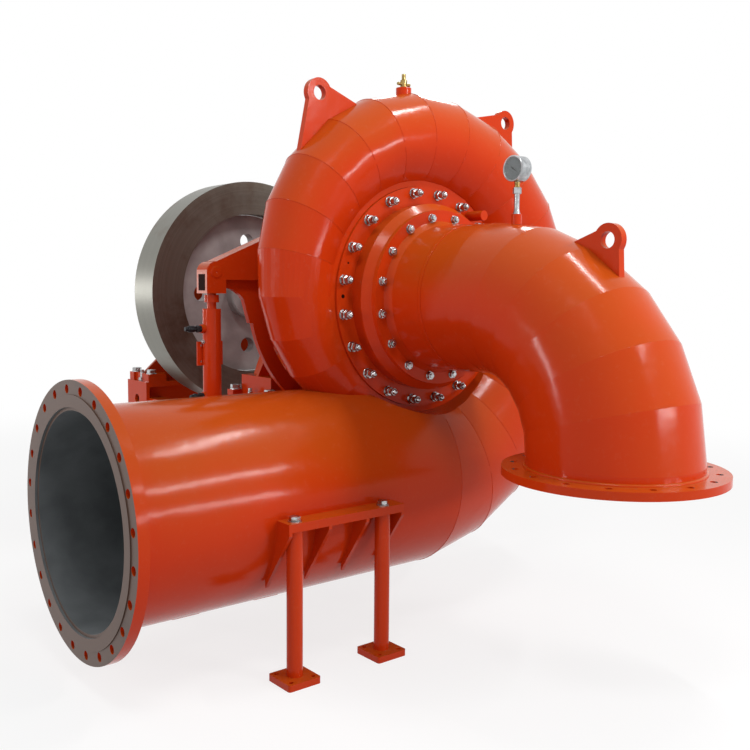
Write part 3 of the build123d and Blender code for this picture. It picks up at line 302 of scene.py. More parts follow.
def makePlatedMetal(name, look):
    material, tree, place = startMaterial(name)
    cloud = addNode(tree, "ShaderNodeTexNoise", {
        "Vector": place, "Scale": 1000 / look["cloudMm"], "Detail": 4.0,
    })
    spread = addNode(tree, "ShaderNodeMapRange", {
        "Value": cloud.outputs["Fac"], "From Min": 0.34, "From Max": 0.62,
    })
    colour = addNode(tree, "ShaderNodeMix", {
        0: spread.outputs[0], 6: linearColour(look["deep"]), 7: linearColour(look["light"]),
    }, data_type="RGBA")
    gloss = addNode(tree, "ShaderNodeMapRange", {
        "Value": cloud.outputs["Fac"], "To Min": look["roughness"][1], "To Max": look["roughness"][0],
    })
    shader = addNode(tree, "ShaderNodeBsdfPrincipled", {
        "Base Color": colour.outputs[2], "Roughness": gloss.outputs[0], "Metallic": 1.0,
    })
    endMaterial(tree, shader)
    return material


# Float glass over the dial: clear, with the faintest wave
glassLook = {"tint": "#F4F7F6", "roughness": 0.02, "ior": 1.5, "wavesPerMetre": 30.0}


def makeGlass(name, look):
    material, tree, place = startMaterial(name)
    wave = addNode(tree, "ShaderNodeTexNoise", {"Vector": place, "Scale": look["wavesPerMetre"]})
    bump = addNode(tree, "ShaderNodeBump", {
        "Strength": 0.02, "Distance": 0.0005, "Height": wave.outputs["Fac"],
    })
    shader = addNode(tree, "ShaderNodeBsdfPrincipled", {
        "Base Color": linearColour(look["tint"]), "Roughness": look["roughness"], "Transmission Weight": 1.0,
        "Normal": bump.outputs[0], "IOR": look["ior"],
    })
    endMaterial(tree, shader)
    return material


aboutShaft = ((0, 0, shaftZ), (1, 0, 1))
aboutPipe = ((0, casingY, inletZ), (0, 1, 1))
enamel = makeEnamel("orange_enamel", enamelLook)
primer = makeCoat("grey_primer", primerLook)
webPrimer = makeCoat("web_primer", webLook)
nylon = makeCoat("black_nylon", nylonLook)
dialSheet = makeCoat("dial_sheet", dialLook)
needleLacquer = makeCoat("needle_lacquer", needleLook)
paintedHighlight = makeCoat("painted_highlight_enamel", paintedHighlightLook)
hollow = makeCoat("hole_shadow", hollowLook)
turnedSteel = makeTurnedSteel("turned_steel", turnedLook, *aboutShaft)
rimSide = makeTurnedSteel("rim_side_steel", rimSideLook, *aboutShaft)
flangeFace = makeTurnedSteel("flange_face", flangeFaceLook, *aboutPipe)
zinc = makePlatedMetal("zinc_plated_steel", zincLook)
brass = makePlatedMetal("dull_brass", brassLook)
stainless = makePlatedMetal("brushed_stainless", stainlessLook)
glass = makeGlass("dial_glass", glassLook)
print("finishes made")

# CAD nodes and their finishes; enamel on all the others
nodeFinish = {
    "shaft": turnedSteel, "flywheel": turnedSteel, "runner": turnedSteel,
    "pressure_gauge": stainless, "air_cock": brass,
}
for name, node in nodes.items():
    node.data.materials.clear()
    node.data.materials.append(nodeFinish.get(name, enamel))

# Where one finish ends and the next begins on a CAD node
finishEdges = {
    "crownInside": 0.0995,  # half the water way between the stay ring's crowns
    "flangeFaceX": -1.514, "flangeFaceR": 0.465,  # raised face of the inlet flange
    "flangeBoreR": pipeR + 0.003,
    "webR": 0.4345,  # flywheel's web, inside its rim
    "armEndX": barrelX - 0.040,
    "inward": 0.02,  # an inner face looks at least this far towards the middle line
}
# Least share of a face's normal along an axis that it faces, and the most where it looks across
facing = {"squarely": 0.9, "exactly": 0.98, "across": 0.5}
# The last plates of the spiral run on as a stub of the inlet pipe, and the rest goes round a middle circle
spiralMiddle = {"stubEndX": 0.02, "stubR": pipeR - 0.006, "stubSlack": 0.009, "circleR": ringR + 0.06}


def paintFaces(name, material, wanted):
    mesh = nodes[name].data
    mesh.materials.append(material)
    slot = len(mesh.materials) - 1
    for face in mesh.polygons:
        if wanted(face.center, face.normal):
            face.material_index = slot


def pipeCentre(point):
    return Vector((point.x, casingY, inletZ))


def offPipe(point):
    return (point - pipeCentre(point)).length


def spiralCentre(point):
    onStub = abs(offPipe(point) - spiralMiddle["stubR"]) < spiralMiddle["stubSlack"]
    if point.x < spiralMiddle["stubEndX"] and onStub:
        return pipeCentre(point)
    out = Vector((point.x, 0, point.z - shaftZ)).normalized()
    return shaftCentre + out * spiralMiddle["circleR"]


def elbowCentre(point):
    if point.y > elbowY:
        return Vector((0, point.y, shaftZ))
    if point.z < elbowZ:
        return Vector((0, draftY, point.z))
    turn = math.atan2(elbowY - point.y, point.z - elbowZ)
    return Vector((0, elbowY - elbowBend * math.sin(turn), elbowZ + elbowBend * math.cos(turn)))


def onFlangeFace(centre, normal):
    raised = centre.x < finishEdges["flangeFaceX"] and offPipe(centre) < finishEdges["flangeFaceR"]
    return normal.x < -facing["squarely"] or raised


# Inner faces of the water way, which look towards its middle line
for name, centreOf in (
    ("inlet_pipe", pipeCentre), ("spiral_casing", spiralCentre), ("draft_collar", elbowCentre),
    ("elbow_upper", elbowCentre), ("elbow_lower", elbowCentre), ("draft_flange", elbowCentre),
):
    paintFaces(name, primer,
               lambda centre, normal: normal.dot(centreOf(centre) - centre) > finishEdges["inward"])
paintFaces("stay_ring", primer,
           lambda centre, normal: abs(centre.y - casingY) < finishEdges["crownInside"])
paintFaces("inlet_flange", flangeFace, onFlangeFace)
paintFaces("inlet_pipe", flangeFace, lambda centre, normal: normal.x < -facing["squarely"])
paintFaces("inlet_flange", primer,
           lambda centre, normal: abs(normal.x) < facing["across"]
           and offPipe(centre) < finishEdges["flangeBoreR"])
# The rim's sides take the darker brown steel, partly a painted reflection of dark surroundings
paintFaces("flywheel", rimSide, lambda centre, normal: abs(normal.y) > facing["squarely"])
paintFaces("flywheel", webPrimer,
           lambda centre, normal: math.hypot(centre.x, centre.z - shaftZ) < finishEdges["webR"])
# The arm's end face takes the pale pink painted highlight
paintFaces("regulating_arm", paintedHighlight,
           lambda centre, normal: normal.x < -facing["exactly"] and centre.x < finishEdges["armEndX"])
print("CAD nodes painted")


# Seated fasteners: one template on every seat point, turned by chance about its own axis
def seatTree():
    tree = bpy.data.node_groups.new("seatedFasteners", "GeometryNodeTree")
    for label, kind in (
        ("Seats", "NodeSocketGeometry"), ("Fastener", "NodeSocketObject"), ("Tilt", "NodeSocketVector"),
        ("Turn Range", "NodeSocketFloat"), ("Seed", "NodeSocketInt"), ("Finish", "NodeSocketMaterial"),
    ):
        tree.interface.new_socket(label, in_out="INPUT", socket_type=kind)
    tree.interface.new_socket("Fasteners", in_out="OUTPUT", socket_type="NodeSocketGeometry")
    given = addNode(tree, "NodeGroupInput").outputs
    template = addNode(tree, "GeometryNodeObjectInfo", {"Object": given["Fastener"]})
    turn = addNode(tree, "FunctionNodeRandomValue", {
        2: 0.0, 3: given["Turn Range"], "Seed": given["Seed"],
    }, data_type="FLOAT")
    spin = addNode(tree, "ShaderNodeCombineXYZ", {"Z": turn.outputs[1]})
    spinRotation = addNode(tree, "FunctionNodeEulerToRotation", {0: spin.outputs[0]})
    tiltRotation = addNode(tree, "FunctionNodeEulerToRotation", {0: given["Tilt"]})
    facing = addNode(tree, "FunctionNodeRotateRotation", {
        0: spinRotation.outputs[0], 1: tiltRotation.outputs[0],
    }, rotation_space="GLOBAL")
    placed = addNode(tree, "GeometryNodeInstanceOnPoints", {
        "Points": given["Seats"], "Instance": template.outputs["Geometry"], "Rotation": facing.outputs[0],
    })
    real = addNode(tree, "GeometryNodeRealizeInstances", {0: placed.outputs[0]})
    finished = addNode(tree, "GeometryNodeSetMaterial", {
        "Geometry": real.outputs[0], "Material": given["Finish"],
    })
    addNode(tree, "NodeGroupOutput", {0: finished.outputs[0]})
    return tree


# Weld beads: a rippled round bead along a path of edges
beads = {
    "elbowR": 0.0012, "pipeR": 0.0032, "filletR": 0.0075, "casingR": 0.0013,
    "ripple": 0.0005, "rippleMm": 6.25, "step": 0.010, "sides": 8,
}


def beadTree():
    tree = bpy.data.node_groups.new("weldBead", "GeometryNodeTree")
    for label, kind in (
        ("Path", "NodeSocketGeometry"), ("Bead Radius", "NodeSocketFloat"), ("Ripple", "NodeSocketFloat"),
        ("Step", "NodeSocketFloat"), ("Finish", "NodeSocketMaterial"),
    ):
        tree.interface.new_socket(label, in_out="INPUT", socket_type=kind)
    tree.interface.new_socket("Bead", in_out="OUTPUT", socket_type="NodeSocketGeometry")
    given = addNode(tree, "NodeGroupInput").outputs
    path = addNode(tree, "GeometryNodeMeshToCurve", {0: given["Path"]})
    even = addNode(tree, "GeometryNodeResampleCurve", {
        "Curve": path.outputs[0], "Length": given["Step"],
    }, mode="LENGTH")
    profile = addNode(tree, "GeometryNodeCurvePrimitiveCircle", {
        "Resolution": beads["sides"], "Radius": given["Bead Radius"],
    })
    bead = addNode(tree, "GeometryNodeCurveToMesh", {
        "Curve": even.outputs[0], "Profile Curve": profile.outputs[0],
    })
    place = addNode(tree, "GeometryNodeInputPosition")
    rough = addNode(tree, "ShaderNodeTexNoise", {
        "Vector": place.outputs[0], "Scale": 1000 / beads["rippleMm"], "Detail": 1.0,
    })
    height = addNode(tree, "ShaderNodeMath", {
        0: rough.outputs["Fac"], 1: given["Ripple"],
    }, operation="MULTIPLY")
    normal = addNode(tree, "GeometryNodeInputNormal")
    lift = addNode(tree, "ShaderNodeVectorMath", {
        0: normal.outputs[0], "Scale": height.outputs[0],
    }, operation="SCALE")
    rippled = addNode(tree, "GeometryNodeSetPosition", {
        "Geometry": bead.outputs[0], "Offset": lift.outputs[0],
    })
    smooth = addNode(tree, "GeometryNodeSetShadeSmooth", {"Geometry": rippled.outputs[0]})
    finished = addNode(tree, "GeometryNodeSetMaterial", {
        "Geometry": smooth.outputs[0], "Material": given["Finish"],
    })
    addNode(tree, "NodeGroupOutput", {0: finished.outputs[0]})
    return tree


fastenerNodes = seatTree()
beadNodes = beadTree()


def newPiece(name, mesh):
    piece = bpy.data.objects.new(name, mesh)
    bpy.context.scene.collection.objects.link(piece)
    return piece


def grow(name, startMesh, tree, inputs, body):
    # Runs a tree on a start mesh and keeps the result as a plain mesh that rides on a body
    starter = newPiece(name + "Start", startMesh)
    modifier = starter.modifiers.new("grow", "NODES")
    modifier.node_group = tree
    for item in tree.interface.items_tree:
        if item.in_out == "INPUT" and item.name in inputs:
            modifier[item.identifier] = inputs[item.name]
    bpy.context.view_layer.update()
    grown = starter.evaluated_get(bpy.context.evaluated_depsgraph_get())
    piece = newPiece(name, bpy.data.meshes.new_from_object(grown))
    starter.modifiers.remove(modifier)
    bpy.data.objects.remove(starter)
    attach(piece, body)
    return piece


def pointMesh(name, points):
    mesh = bpy.data.meshes.new(name)
    mesh.from_pydata([tuple(p) for p in points], [], [])
    return mesh


def pathMesh(name, loops):
    # Points within a hundredth of a millimetre become one, so short stretches join into long paths
    numbers, points, edges = {}, [], set()
    for loop, closed in loops:
        row = []
        for point in loop:
            key = tuple(round(value, 5) for value in point)
            if key not in numbers:
                numbers[key] = len(points)
                points.append(tuple(point))
            row.append(numbers[key])
        pairs = list(zip(row, row[1:])) + ([(row[-1], row[0])] if closed else [])
        edges.update((min(pair), max(pair)) for pair in pairs if pair[0] != pair[1])
    mesh = bpy.data.meshes.new(name)
    mesh.from_pydata(points, sorted(edges), [])
    return mesh


def stackRings(shape, rings, closeEnds=True):
    # Joins rings of points, each a list of the same length, into one skin
    made = [[shape.verts.new(p) for p in ring] for ring in rings]
    for low, high in zip(made, made[1:]):
        for i in range(len(low)):
            j = (i + 1) % len(low)
            shape.faces.new((low[i], low[j], high[j], high[i]))
    if closeEnds:
        shape.faces.new(list(reversed(made[0])))
        shape.faces.new(made[-1])


def hoop(radius, height, count):
    turns = [2 * math.pi * i / count for i in range(count)]
    return [(radius * math.cos(a), radius * math.sin(a), height) for a in turns]


def turned(shape, profile, count=32):
    # A turned body: (radius, height) pairs about the local Z axis, closed at both ends
    stackRings(shape, [hoop(radius, height, count) for radius, height in profile])


def turnedRing(shape, profile, count=48):
    # A turned ring: its profile closes on itself and leaves the middle open
    rings = [hoop(radius, height, count) for radius, height in profile]
    stackRings(shape, [*rings, rings[0]], closeEnds=False)


def edgedDisc(shape, radius, low, high, edge, count=32):
    # A disc from low to high, its upper edge broken: edge is how far in and how far down
    turned(shape, [(radius, low), (radius, high - edge[1]), (radius - edge[0], high)], count)


hexCorner = {"slope": 0.58, "least": 0.0002, "capShare": 0.985, "perSide": 4}


def hexBody(shape, flats, low, high):
    # A hexagon whose corners are turned off by a cone at both ends
    inner = flats / 2
    cap = inner * hexCorner["capShare"]
    count = 6 * hexCorner["perSide"]
    rings = [[], [], [], []]
    for i in range(count):
        angle = 2 * math.pi * i / count
        corner = inner / math.cos((angle % (math.pi / 3)) - math.pi / 6)
        cut = (corner - inner) * hexCorner["slope"] + hexCorner["least"]
        heights = (low, low + cut, high - cut, high)
        for ring, radius, height in zip(rings, (cap, corner, corner, cap), heights):
            ring.append((radius * math.cos(angle), radius * math.sin(angle), height))
    stackRings(shape, rings)


def hexOnWasher(size):
    def build(shape):
        edgedDisc(shape, size["washerR"], 0.0, size["washer"], size["edge"])
        hexBody(shape, size["flats"], size["washer"], size["top"])
    return build


def buildObject(name, build):
    shape = bmesh.new()
    build(shape)
    bmesh.ops.remove_doubles(shape, verts=shape.verts, dist=1e-6)
    bmesh.ops.recalc_face_normals(shape, faces=shape.faces)
    mesh = bpy.data.meshes.new(name)
    shape.to_mesh(mesh)
    shape.free()
    return newPiece(name, mesh)


def shadeSmooth(mesh, sharpDegrees):
    mesh.polygons.foreach_set("use_smooth", [True] * len(mesh.polygons))
    mesh.set_sharp_from_angle(angle=math.radians(sharpDegrees))


def seatPieces(name, seats, build, tilt, finish, body, seed, turnRange=math.pi / 3):
    template = buildObject(name + "Template", build)
    shadeSmooth(template.data, 32)
    piece = grow(name, pointMesh(name + "Seats", seats), fastenerNodes, {
        "Fastener": template, "Tilt": tilt, "Turn Range": turnRange, "Seed": seed, "Finish": finish,
    }, body)
    bpy.data.objects.remove(template)
    return piece


def seatBolts(name, seats, build, tilt, seed, finish=zinc):
    seatPieces(name, seats, build, tilt, finish, "machine", seed)


def onePiece(name, place, build, tilt, finish, body):
    # A single piece on one seat, not turned
    return seatPieces(name, [place], build, tilt, finish, body, seed=1, turnRange=0.0)


def ringSeats(faceY, circle):
    # Places on a circle about the shaft, on a face that looks along it
    radius, count = circle["circleR"], circle["count"]
    turns = [math.radians(circle["start"]) + 2 * math.pi * i / count for i in range(count)]
    return [Vector((radius * math.cos(a), faceY, shaftZ + radius * math.sin(a))) for a in turns]


# Tilts that turn a piece's own Z axis towards the draft side, the inlet side and up
towardFront = (math.pi / 2, 0.0, 0.0)
towardInlet = (0.0, -math.pi / 2, 0.0)
upward = (0.0, 0.0, 0.0)

# Cover studs: washer, nut and cap nut on each of the twenty studs
coverStuds = {
    "circleR": 0.4492, "count": 20, "start": 9.0,
    "washerR": 0.022, "washer": 0.004, "edge": (0.0006, 0.0006), "flats": 0.036, "top": 0.0235,
}
capNuts = {
    "flats": 0.0285, "foot": 0.0335, "shoulder": 0.0475, "domeR": 0.0125, "domeRise": 0.0135, "tipR": 0.0008,
}


def capNut(shape):
    shoulder, rise = capNuts["shoulder"], capNuts["domeRise"]
    hexBody(shape, capNuts["flats"], capNuts["foot"], shoulder)
    turns = [math.radians(t) for t in range(0, 81, 16)]  # from the shoulder to near the top
    dome = [(capNuts["domeR"] * math.cos(t), shoulder + rise * math.sin(t)) for t in turns]
    turned(shape, [*dome, (capNuts["tipR"], shoulder + rise)], count=24)


studSeats = ringSeats(coverFaceY, coverStuds)
seatBolts("cover_nuts", studSeats, hexOnWasher(coverStuds), towardFront, seed=3)
seatBolts("cover_cap_nuts", studSeats, capNut, towardFront, seed=5, finish=stainless)

# Collar bolts: sixteen hexagon heads on the draft collar, each with the end of its thread
collarBolts = {
    "circleR": 0.3389, "count": 16, "start": 11.25,
    "washerR": 0.0185, "washer": 0.003, "edge": (0.0005, 0.0004), "flats": 0.030, "top": 0.0155,
    "threadR": 0.0098, "threadTop": 0.0222, "threadEdge": (0.0013, 0.0012),
}


def collarBolt(shape):
    hexOnWasher(collarBolts)(shape)
    edgedDisc(shape, collarBolts["threadR"], collarBolts["top"], collarBolts["threadTop"],
              collarBolts["threadEdge"], count=20)


seatBolts("collar_bolts", ringSeats(collarFaceY, collarBolts), collarBolt, towardFront, seed=7)

# Jacking hole and drain hole between the studs, as thin dark discs of painted shade on the cover's face
coverHoles = {
    "small": {"circleR": 0.4427, "count": 1, "start": 161.6, "r": 0.0042},
    "large": {"circleR": 0.4461, "count": 1, "start": 179.5, "r": 0.0082},
}
discRise = {"from": -0.002, "to": 0.0004}


def darkDisc(radius):
    def build(shape):
        turned(shape, [(radius, discRise["from"]), (radius, discRise["to"])], count=24)
    return build


for name, hole in coverHoles.items():
    onePiece(f"cover_hole_{name}", ringSeats(coverFaceY, hole)[0], darkDisc(hole["r"]), towardFront, hollow,
             "machine")

# Foot bolts on the pads of the two bearing stands; a stand is its middle and half the spacing along the shaft
footBolts = {
    "x": 0.428, "padTop": baseZ + 0.044, "stands": ((-0.631, 0.152), (0.539, 0.095)),
    "washerR": 0.029, "washer": 0.005, "edge": (0.0006, 0.0006), "flats": 0.046, "top": 0.0237,
}
# Jack screws between them: a nut on the base, a bare thread and a small head
jackScrews = {
    "x": 0.440, "nutFlats": 0.036, "nutTop": 0.018, "threadR": 0.0115, "threadTop": 0.047,
    "threadEdge": (0.001, 0.001), "headFlats": 0.0170, "headTop": 0.062,
}


def jackScrew(shape):
    nutTop, threadTop = jackScrews["nutTop"], jackScrews["threadTop"]
    hexBody(shape, jackScrews["nutFlats"], 0.0, nutTop)
    edgedDisc(shape, jackScrews["threadR"], nutTop, threadTop, jackScrews["threadEdge"], count=20)
    hexBody(shape, jackScrews["headFlats"], threadTop, jackScrews["headTop"])


footSeats = []
jackSeats = []
for centre, spread in footBolts["stands"]:
    for side in (-1, 1):
        footSeats += [
            (side * footBolts["x"], centre + end * spread, footBolts["padTop"]) for end in (-1, 1)
        ]
        jackSeats.append((side * jackScrews["x"], centre, baseZ))
seatBolts("foot_bolts", footSeats, hexOnWasher(footBolts), upward, seed=11)
seatBolts("jack_screws", jackSeats, jackScrew, upward, seed=13)

# Bracket bolts over the posts of the inlet pipe
bracketBolts = {
    "x": (-0.890, -0.478), "aside": 0.455, "plateTop": 0.600,
    "washerR": 0.026, "washer": 0.004, "edge": (0.0006, 0.0004), "flats": 0.036, "top": 0.019,
}
bracketSeats = [
    (x, casingY + side * bracketBolts["aside"], bracketBolts["plateTop"])
    for x in bracketBolts["x"] for side in (-1, 1)
]
seatBolts("bracket_bolts", bracketSeats, hexOnWasher(bracketBolts), upward, seed=17)
print("fasteners seated")


def circlePath(centre, acrossOne, acrossTwo, radius, count=96):
    turns = [2 * math.pi * i / count for i in range(count)]
    return [centre + acrossOne * radius * math.cos(a) + acrossTwo * radius * math.sin(a) for a in turns]


def growBeads(name, loops, radius):
    return grow(name, pathMesh(name + "Path", loops), beadNodes, {
        "Bead Radius": radius, "Ripple": beads["ripple"], "Step": beads["step"], "Finish": enamel,
    }, "machine")


# Mitres of the elbow: its tube widens by the same step from one to the next
elbowMitres = {"count": 7, "everyDegrees": 15, "firstR": 0.301, "widening": 0.0025}
draftFillet = {"z": 0.8045, "r": 0.3165}  # where the elbow stands on the draft flange
xWay, yWay, zWay = Vector((1, 0, 0)), Vector((0, 1, 0)), Vector((0, 0, 1))
mitres = []
for step in range(elbowMitres["count"]):
    turn = math.radians(elbowMitres["everyDegrees"] * step)
    outward = Vector((0, -math.sin(turn), math.cos(turn)))
    centre = Vector((0, elbowY, elbowZ)) + outward * elbowBend
    radius = elbowMitres["firstR"] + elbowMitres["widening"] * step - beads["elbowR"]
    mitres.append((circlePath(centre, xWay, outward, radius), True))
growBeads("elbow_weld_beads", mitres, beads["elbowR"])
growBeads("pipe_weld_beads", [
    (circlePath(Vector((pipeStartX, casingY, inletZ)), yWay, zWay, pipeR), True),
], beads["pipeR"])
growBeads("flange_fillet_beads", [
    (circlePath(Vector((0, draftY, draftFillet["z"])), xWay, yWay, draftFillet["r"]), True),
], beads["filletR"])

# Seams of the casing: where its plates meet, on planes through the shaft
casingSeams = {"everyDegrees": 15, "slack": 0.0015, "clearOfRing": 0.004, "merge": 0.00002, "leastBend": 0.01}


def onSectionPlane(ends):
    # True where both ends lie on one section plane and outside the stay ring
    every = casingSeams["everyDegrees"]
    planes = []
    for point in ends:
        turn = math.degrees(math.atan2(point.x, shaftZ - point.z)) % 360
        out = math.hypot(point.x, point.z - shaftZ)
        offPlane = abs(turn / every - round(turn / every))
        if offPlane > casingSeams["slack"] or out < ringR + casingSeams["clearOfRing"]:
            return False
        planes.append(round(turn / every) % (360 // every))
    return planes[0] == planes[1]


def seamEdges(name, wanted):
    # Bent edges of a CAD node, as pairs of ends; a merged copy is read, because the node is loose triangles
    shape = bmesh.new()
    shape.from_mesh(nodes[name].data)
    bmesh.ops.remove_doubles(shape, verts=shape.verts, dist=casingSeams["merge"])
    kept = []
    for edge in shape.edges:
        if len(edge.link_faces) == 2 and edge.calc_face_angle(0) > casingSeams["leastBend"]:
            ends = [v.co.copy() for v in edge.verts]
            if wanted(ends):
                kept.append(ends)
    shape.free()
    return kept


seams = [(ends, False) for ends in seamEdges("spiral_casing", onSectionPlane)]
print("casing seam edges", len(seams))
growBeads("casing_weld_beads", seams, beads["casingR"])
print("weld beads laid")

# Casing tail: the spiral's last plates, which stand out further than the rigid shell and run down onto the
# inlet pipe. Reach is how far a section stands out of the stay ring, by its angle from straight down
casingTail = {
    "reach": {255: 0.2519, 270: 0.224, 285: 0.193, 300: 0.165, 315: 0.137, 330: 0.110, 345: 0.0895},
    "half": 0.1424, "halfSteps": 16, "boreR": 0.4055, "boreEndX": 0.3, "boreCount": 96, "sharpDegrees": 7,
}


def tailSection(angle, reach):
    # A D-shaped section: an arc over the casing's width, closed by a chord on the stay ring
    half, steps = casingTail["half"], casingTail["halfSteps"]
    arcR = (half * half + reach * reach) / (2 * reach)
    centre = ringR + reach - arcR
    spread = math.atan2(half, ringR - centre)
    turn = math.radians(angle)
    row = []
    for i in range(2 * steps + 1):
        lean = spread * (i / steps - 1)
        out = centre + arcR * math.cos(lean)
        row.append((math.sin(turn) * out, casingY + arcR * math.sin(lean), shaftZ - math.cos(turn) * out))
    return row


def tailPlates(shape):
    stackRings(shape, [tailSection(angle, reach) for angle, reach in sorted(casingTail["reach"].items())])


def tailBore(shape):
    # The space inside the inlet pipe, which the tail leaves open
    rings = []
    for x in (pipeStartX, casingTail["boreEndX"]):
        points = hoop(casingTail["boreR"], 0.0, casingTail["boreCount"])
        rings.append([(x, casingY + across, inletZ + up) for across, up, _ in points])
    stackRings(shape, rings)


def makeCasingTail():
    solid = buildObject("casing_tail_solid", tailPlates)
    cutter = buildObject("tail_bore", tailBore)
    modifier = solid.modifiers.new("cut", "BOOLEAN")
    modifier.operation = "DIFFERENCE"
    modifier.solver = "EXACT"
    modifier.object = cutter
    bpy.context.view_layer.update()
    cut = solid.evaluated_get(bpy.context.evaluated_depsgraph_get())
    tail = newPiece("casing_tail", bpy.data.meshes.new_from_object(cut))
    solid.modifiers.remove(modifier)
    for spent in (solid, cutter):
        bpy.data.objects.remove(spent)
    shadeSmooth(tail.data, casingTail["sharpDegrees"])
    tail.data.materials.append(enamel)
    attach(tail, "machine")


makeCasingTail()

# Crescent plate that carries the regulating arm's web on down round the ring
crescent = {"innerR": 0.530, "outerR": 0.597, "from": 191.0, "to": 228.0, "steps": 40, "half": 0.0128}


def crescentPlate(shape):
    inner, outer, steps = crescent["innerR"], crescent["outerR"], crescent["steps"]
    sweep = crescent["to"] - crescent["from"]
    turns = [math.radians(crescent["from"] + sweep * i / steps) for i in range(steps + 1)]
    flat = [(outer * math.cos(a), outer * math.sin(a)) for a in turns]
    flat += [(inner * math.cos(a), inner * math.sin(a)) for a in reversed(turns)]
    stackRings(shape, [[(x, y, side * crescent["half"]) for x, y in flat] for side in (-1, 1)])


onePiece("arm_crescent", Vector((0, armY, shaftZ)), crescentPlate, towardFront, enamel,
         "gate_ring")

# Band clamped round the elbow's straight neck
neckBand = {"y": -1.641, "innerR": 0.2995, "outerR": 0.3040, "width": 0.03, "edge": 0.0006}


def neckBandRing(shape):
    inner, outer, width, edge = (neckBand[key] for key in ("innerR", "outerR", "width", "edge"))
    turnedRing(shape, [
        (inner, 0.0), (outer - edge, 0.0), (outer, edge),
        (outer, width - edge), (outer - edge, width), (inner, width),
    ], count=96)


onePiece("neck_band", Vector((0, neckBand["y"], shaftZ)), neckBandRing, towardFront, enamel,
         "machine")

# Window in the arm's end: a dark patch of painted shade in place of the opening, seen from the inlet side
armWindow = {
    "place": Vector((barrelX - 0.046, armY, yokeZ)), "foot": -0.077, "head": -0.008, "half": 0.028,
    "sunk": -0.004, "proud": 0.0006,
}


def armWindowPatch(shape):
    foot, head, half = armWindow["foot"], armWindow["head"], armWindow["half"]
    corners = [(foot, -half), (head, -half), (head, half), (foot, half)]
    stackRings(shape, [
        [(x, y, height) for x, y in corners] for height in (armWindow["sunk"], armWindow["proud"])
    ])


onePiece("arm_window", armWindow["place"], armWindowPatch, towardInlet, hollow, "gate_ring")

# Pressure gauge: dial sheet, bezel, glass, needle and marks; it looks towards the inlet
gaugeY = -1.891
gaugeDial = {
    "place": Vector((-0.025, gaugeY, 1.905)), "r": 0.0445, "sheet": 0.0005,
    "bezelR": 0.0505, "bezelDepth": 0.0045, "glassLow": 0.0024, "glassThick": 0.0008, "glassPlay": 0.0006,
}
gaugeNeedle = {
    "turn": 125.0, "tail": -0.012, "tip": 0.034, "tailHalf": 0.0024, "tipHalf": 0.0006,
    "low": 0.0011, "high": 0.0015,
    "hubR": 0.0042, "hubLow": 0.0006, "hubHigh": 0.0021, "hubEdge": (0.001, 0.0003),
}
gaugeMarks = {
    "count": 41, "from": -135, "every": 6.75, "longEach": 4, "end": 0.0400, "low": 0.0005, "high": 0.00065,
    "long": {"start": 0.0330, "half": 0.0007}, "short": {"start": 0.0360, "half": 0.0003},
}


def gaugeSheetDisc(shape):
    turned(shape, [(gaugeDial["r"], 0.0), (gaugeDial["r"], gaugeDial["sheet"])], count=48)


def gaugeBezelRing(shape):
    inner, outer, deep = gaugeDial["r"] - 0.0005, gaugeDial["bezelR"], gaugeDial["bezelDepth"]
    turnedRing(shape, [
        (inner, 0.0), (outer - 0.0004, 0.0), (outer, 0.0010), (outer, deep - 0.0012),
        (outer - 0.0014, deep), (inner + 0.0010, deep), (inner, deep - 0.0014),
    ])


def gaugeGlassDisc(shape):
    radius, low = gaugeDial["r"] - gaugeDial["glassPlay"], gaugeDial["glassLow"]
    turned(shape, [(radius, low), (radius, low + gaugeDial["glassThick"])], count=48)


def dialPoint(turnDegrees, radius, height):
    # Clockwise from the top as seen from the inlet side; the local X axis points up there
    turn = math.radians(turnDegrees)
    return (radius * math.cos(turn), -radius * math.sin(turn), height)


def dialBar(shape, turnDegrees, near, far, halfNear, halfFar, low, high):
    turn = math.radians(turnDegrees)
    sideways = Vector((-math.sin(turn), -math.cos(turn), 0))
    ends = [(near, -halfNear), (far, -halfFar), (far, halfFar), (near, halfNear)]
    stackRings(shape, [
        [Vector(dialPoint(turnDegrees, reach, height)) + sideways * half for reach, half in ends]
        for height in (low, high)
    ])


def gaugeNeedleBar(shape):
    size = gaugeNeedle
    dialBar(shape, size["turn"], size["tail"], size["tip"], size["tailHalf"], size["tipHalf"],
            size["low"], size["high"])
    edgedDisc(shape, size["hubR"], size["hubLow"], size["hubHigh"], size["hubEdge"], count=24)


def gaugeMarkBars(shape):
    size = gaugeMarks
    for mark in range(size["count"]):
        bar = size["long"] if mark % size["longEach"] == 0 else size["short"]
        turn = size["from"] + mark * size["every"]
        dialBar(shape, turn, bar["start"], size["end"], bar["half"], bar["half"], size["low"], size["high"])


for name, build, finish in (
    ("gauge_sheet", gaugeSheetDisc, dialSheet), ("gauge_bezel", gaugeBezelRing, stainless),
    ("gauge_glass", gaugeGlassDisc, glass), ("gauge_needle", gaugeNeedleBar, needleLacquer),
    ("gauge_marks", gaugeMarkBars, needleLacquer),
):
    onePiece(name, gaugeDial["place"], build, towardInlet, finish, "machine")

# Stem under the gauge: a steel foot and union nut, and a brass neck on it; heights from the elbow's boss
gaugeStem = {
    "place": Vector((0, gaugeY, shaftZ + 0.331)), "nutFlats": 0.0304, "nutFoot": 0.0778, "nutTop": 0.1024,
}


def gaugeUnion(shape):
    foot = gaugeStem["nutFoot"]
    turned(shape, [
        (0.0150, 0.0), (0.0150, 0.003), (0.0122, 0.008), (0.0104, 0.020), (0.0104, foot),
        (0.0122, foot + 0.0002),
    ])
    hexBody(shape, gaugeStem["nutFlats"], foot, gaugeStem["nutTop"])


def gaugeNeck(shape):
    turned(shape, [
        (0.0115, gaugeStem["nutTop"]), (0.0115, 0.1085), (0.0098, 0.1090), (0.0098, 0.1160), (0.0112, 0.1164),
        (0.0112, 0.1235),
    ])


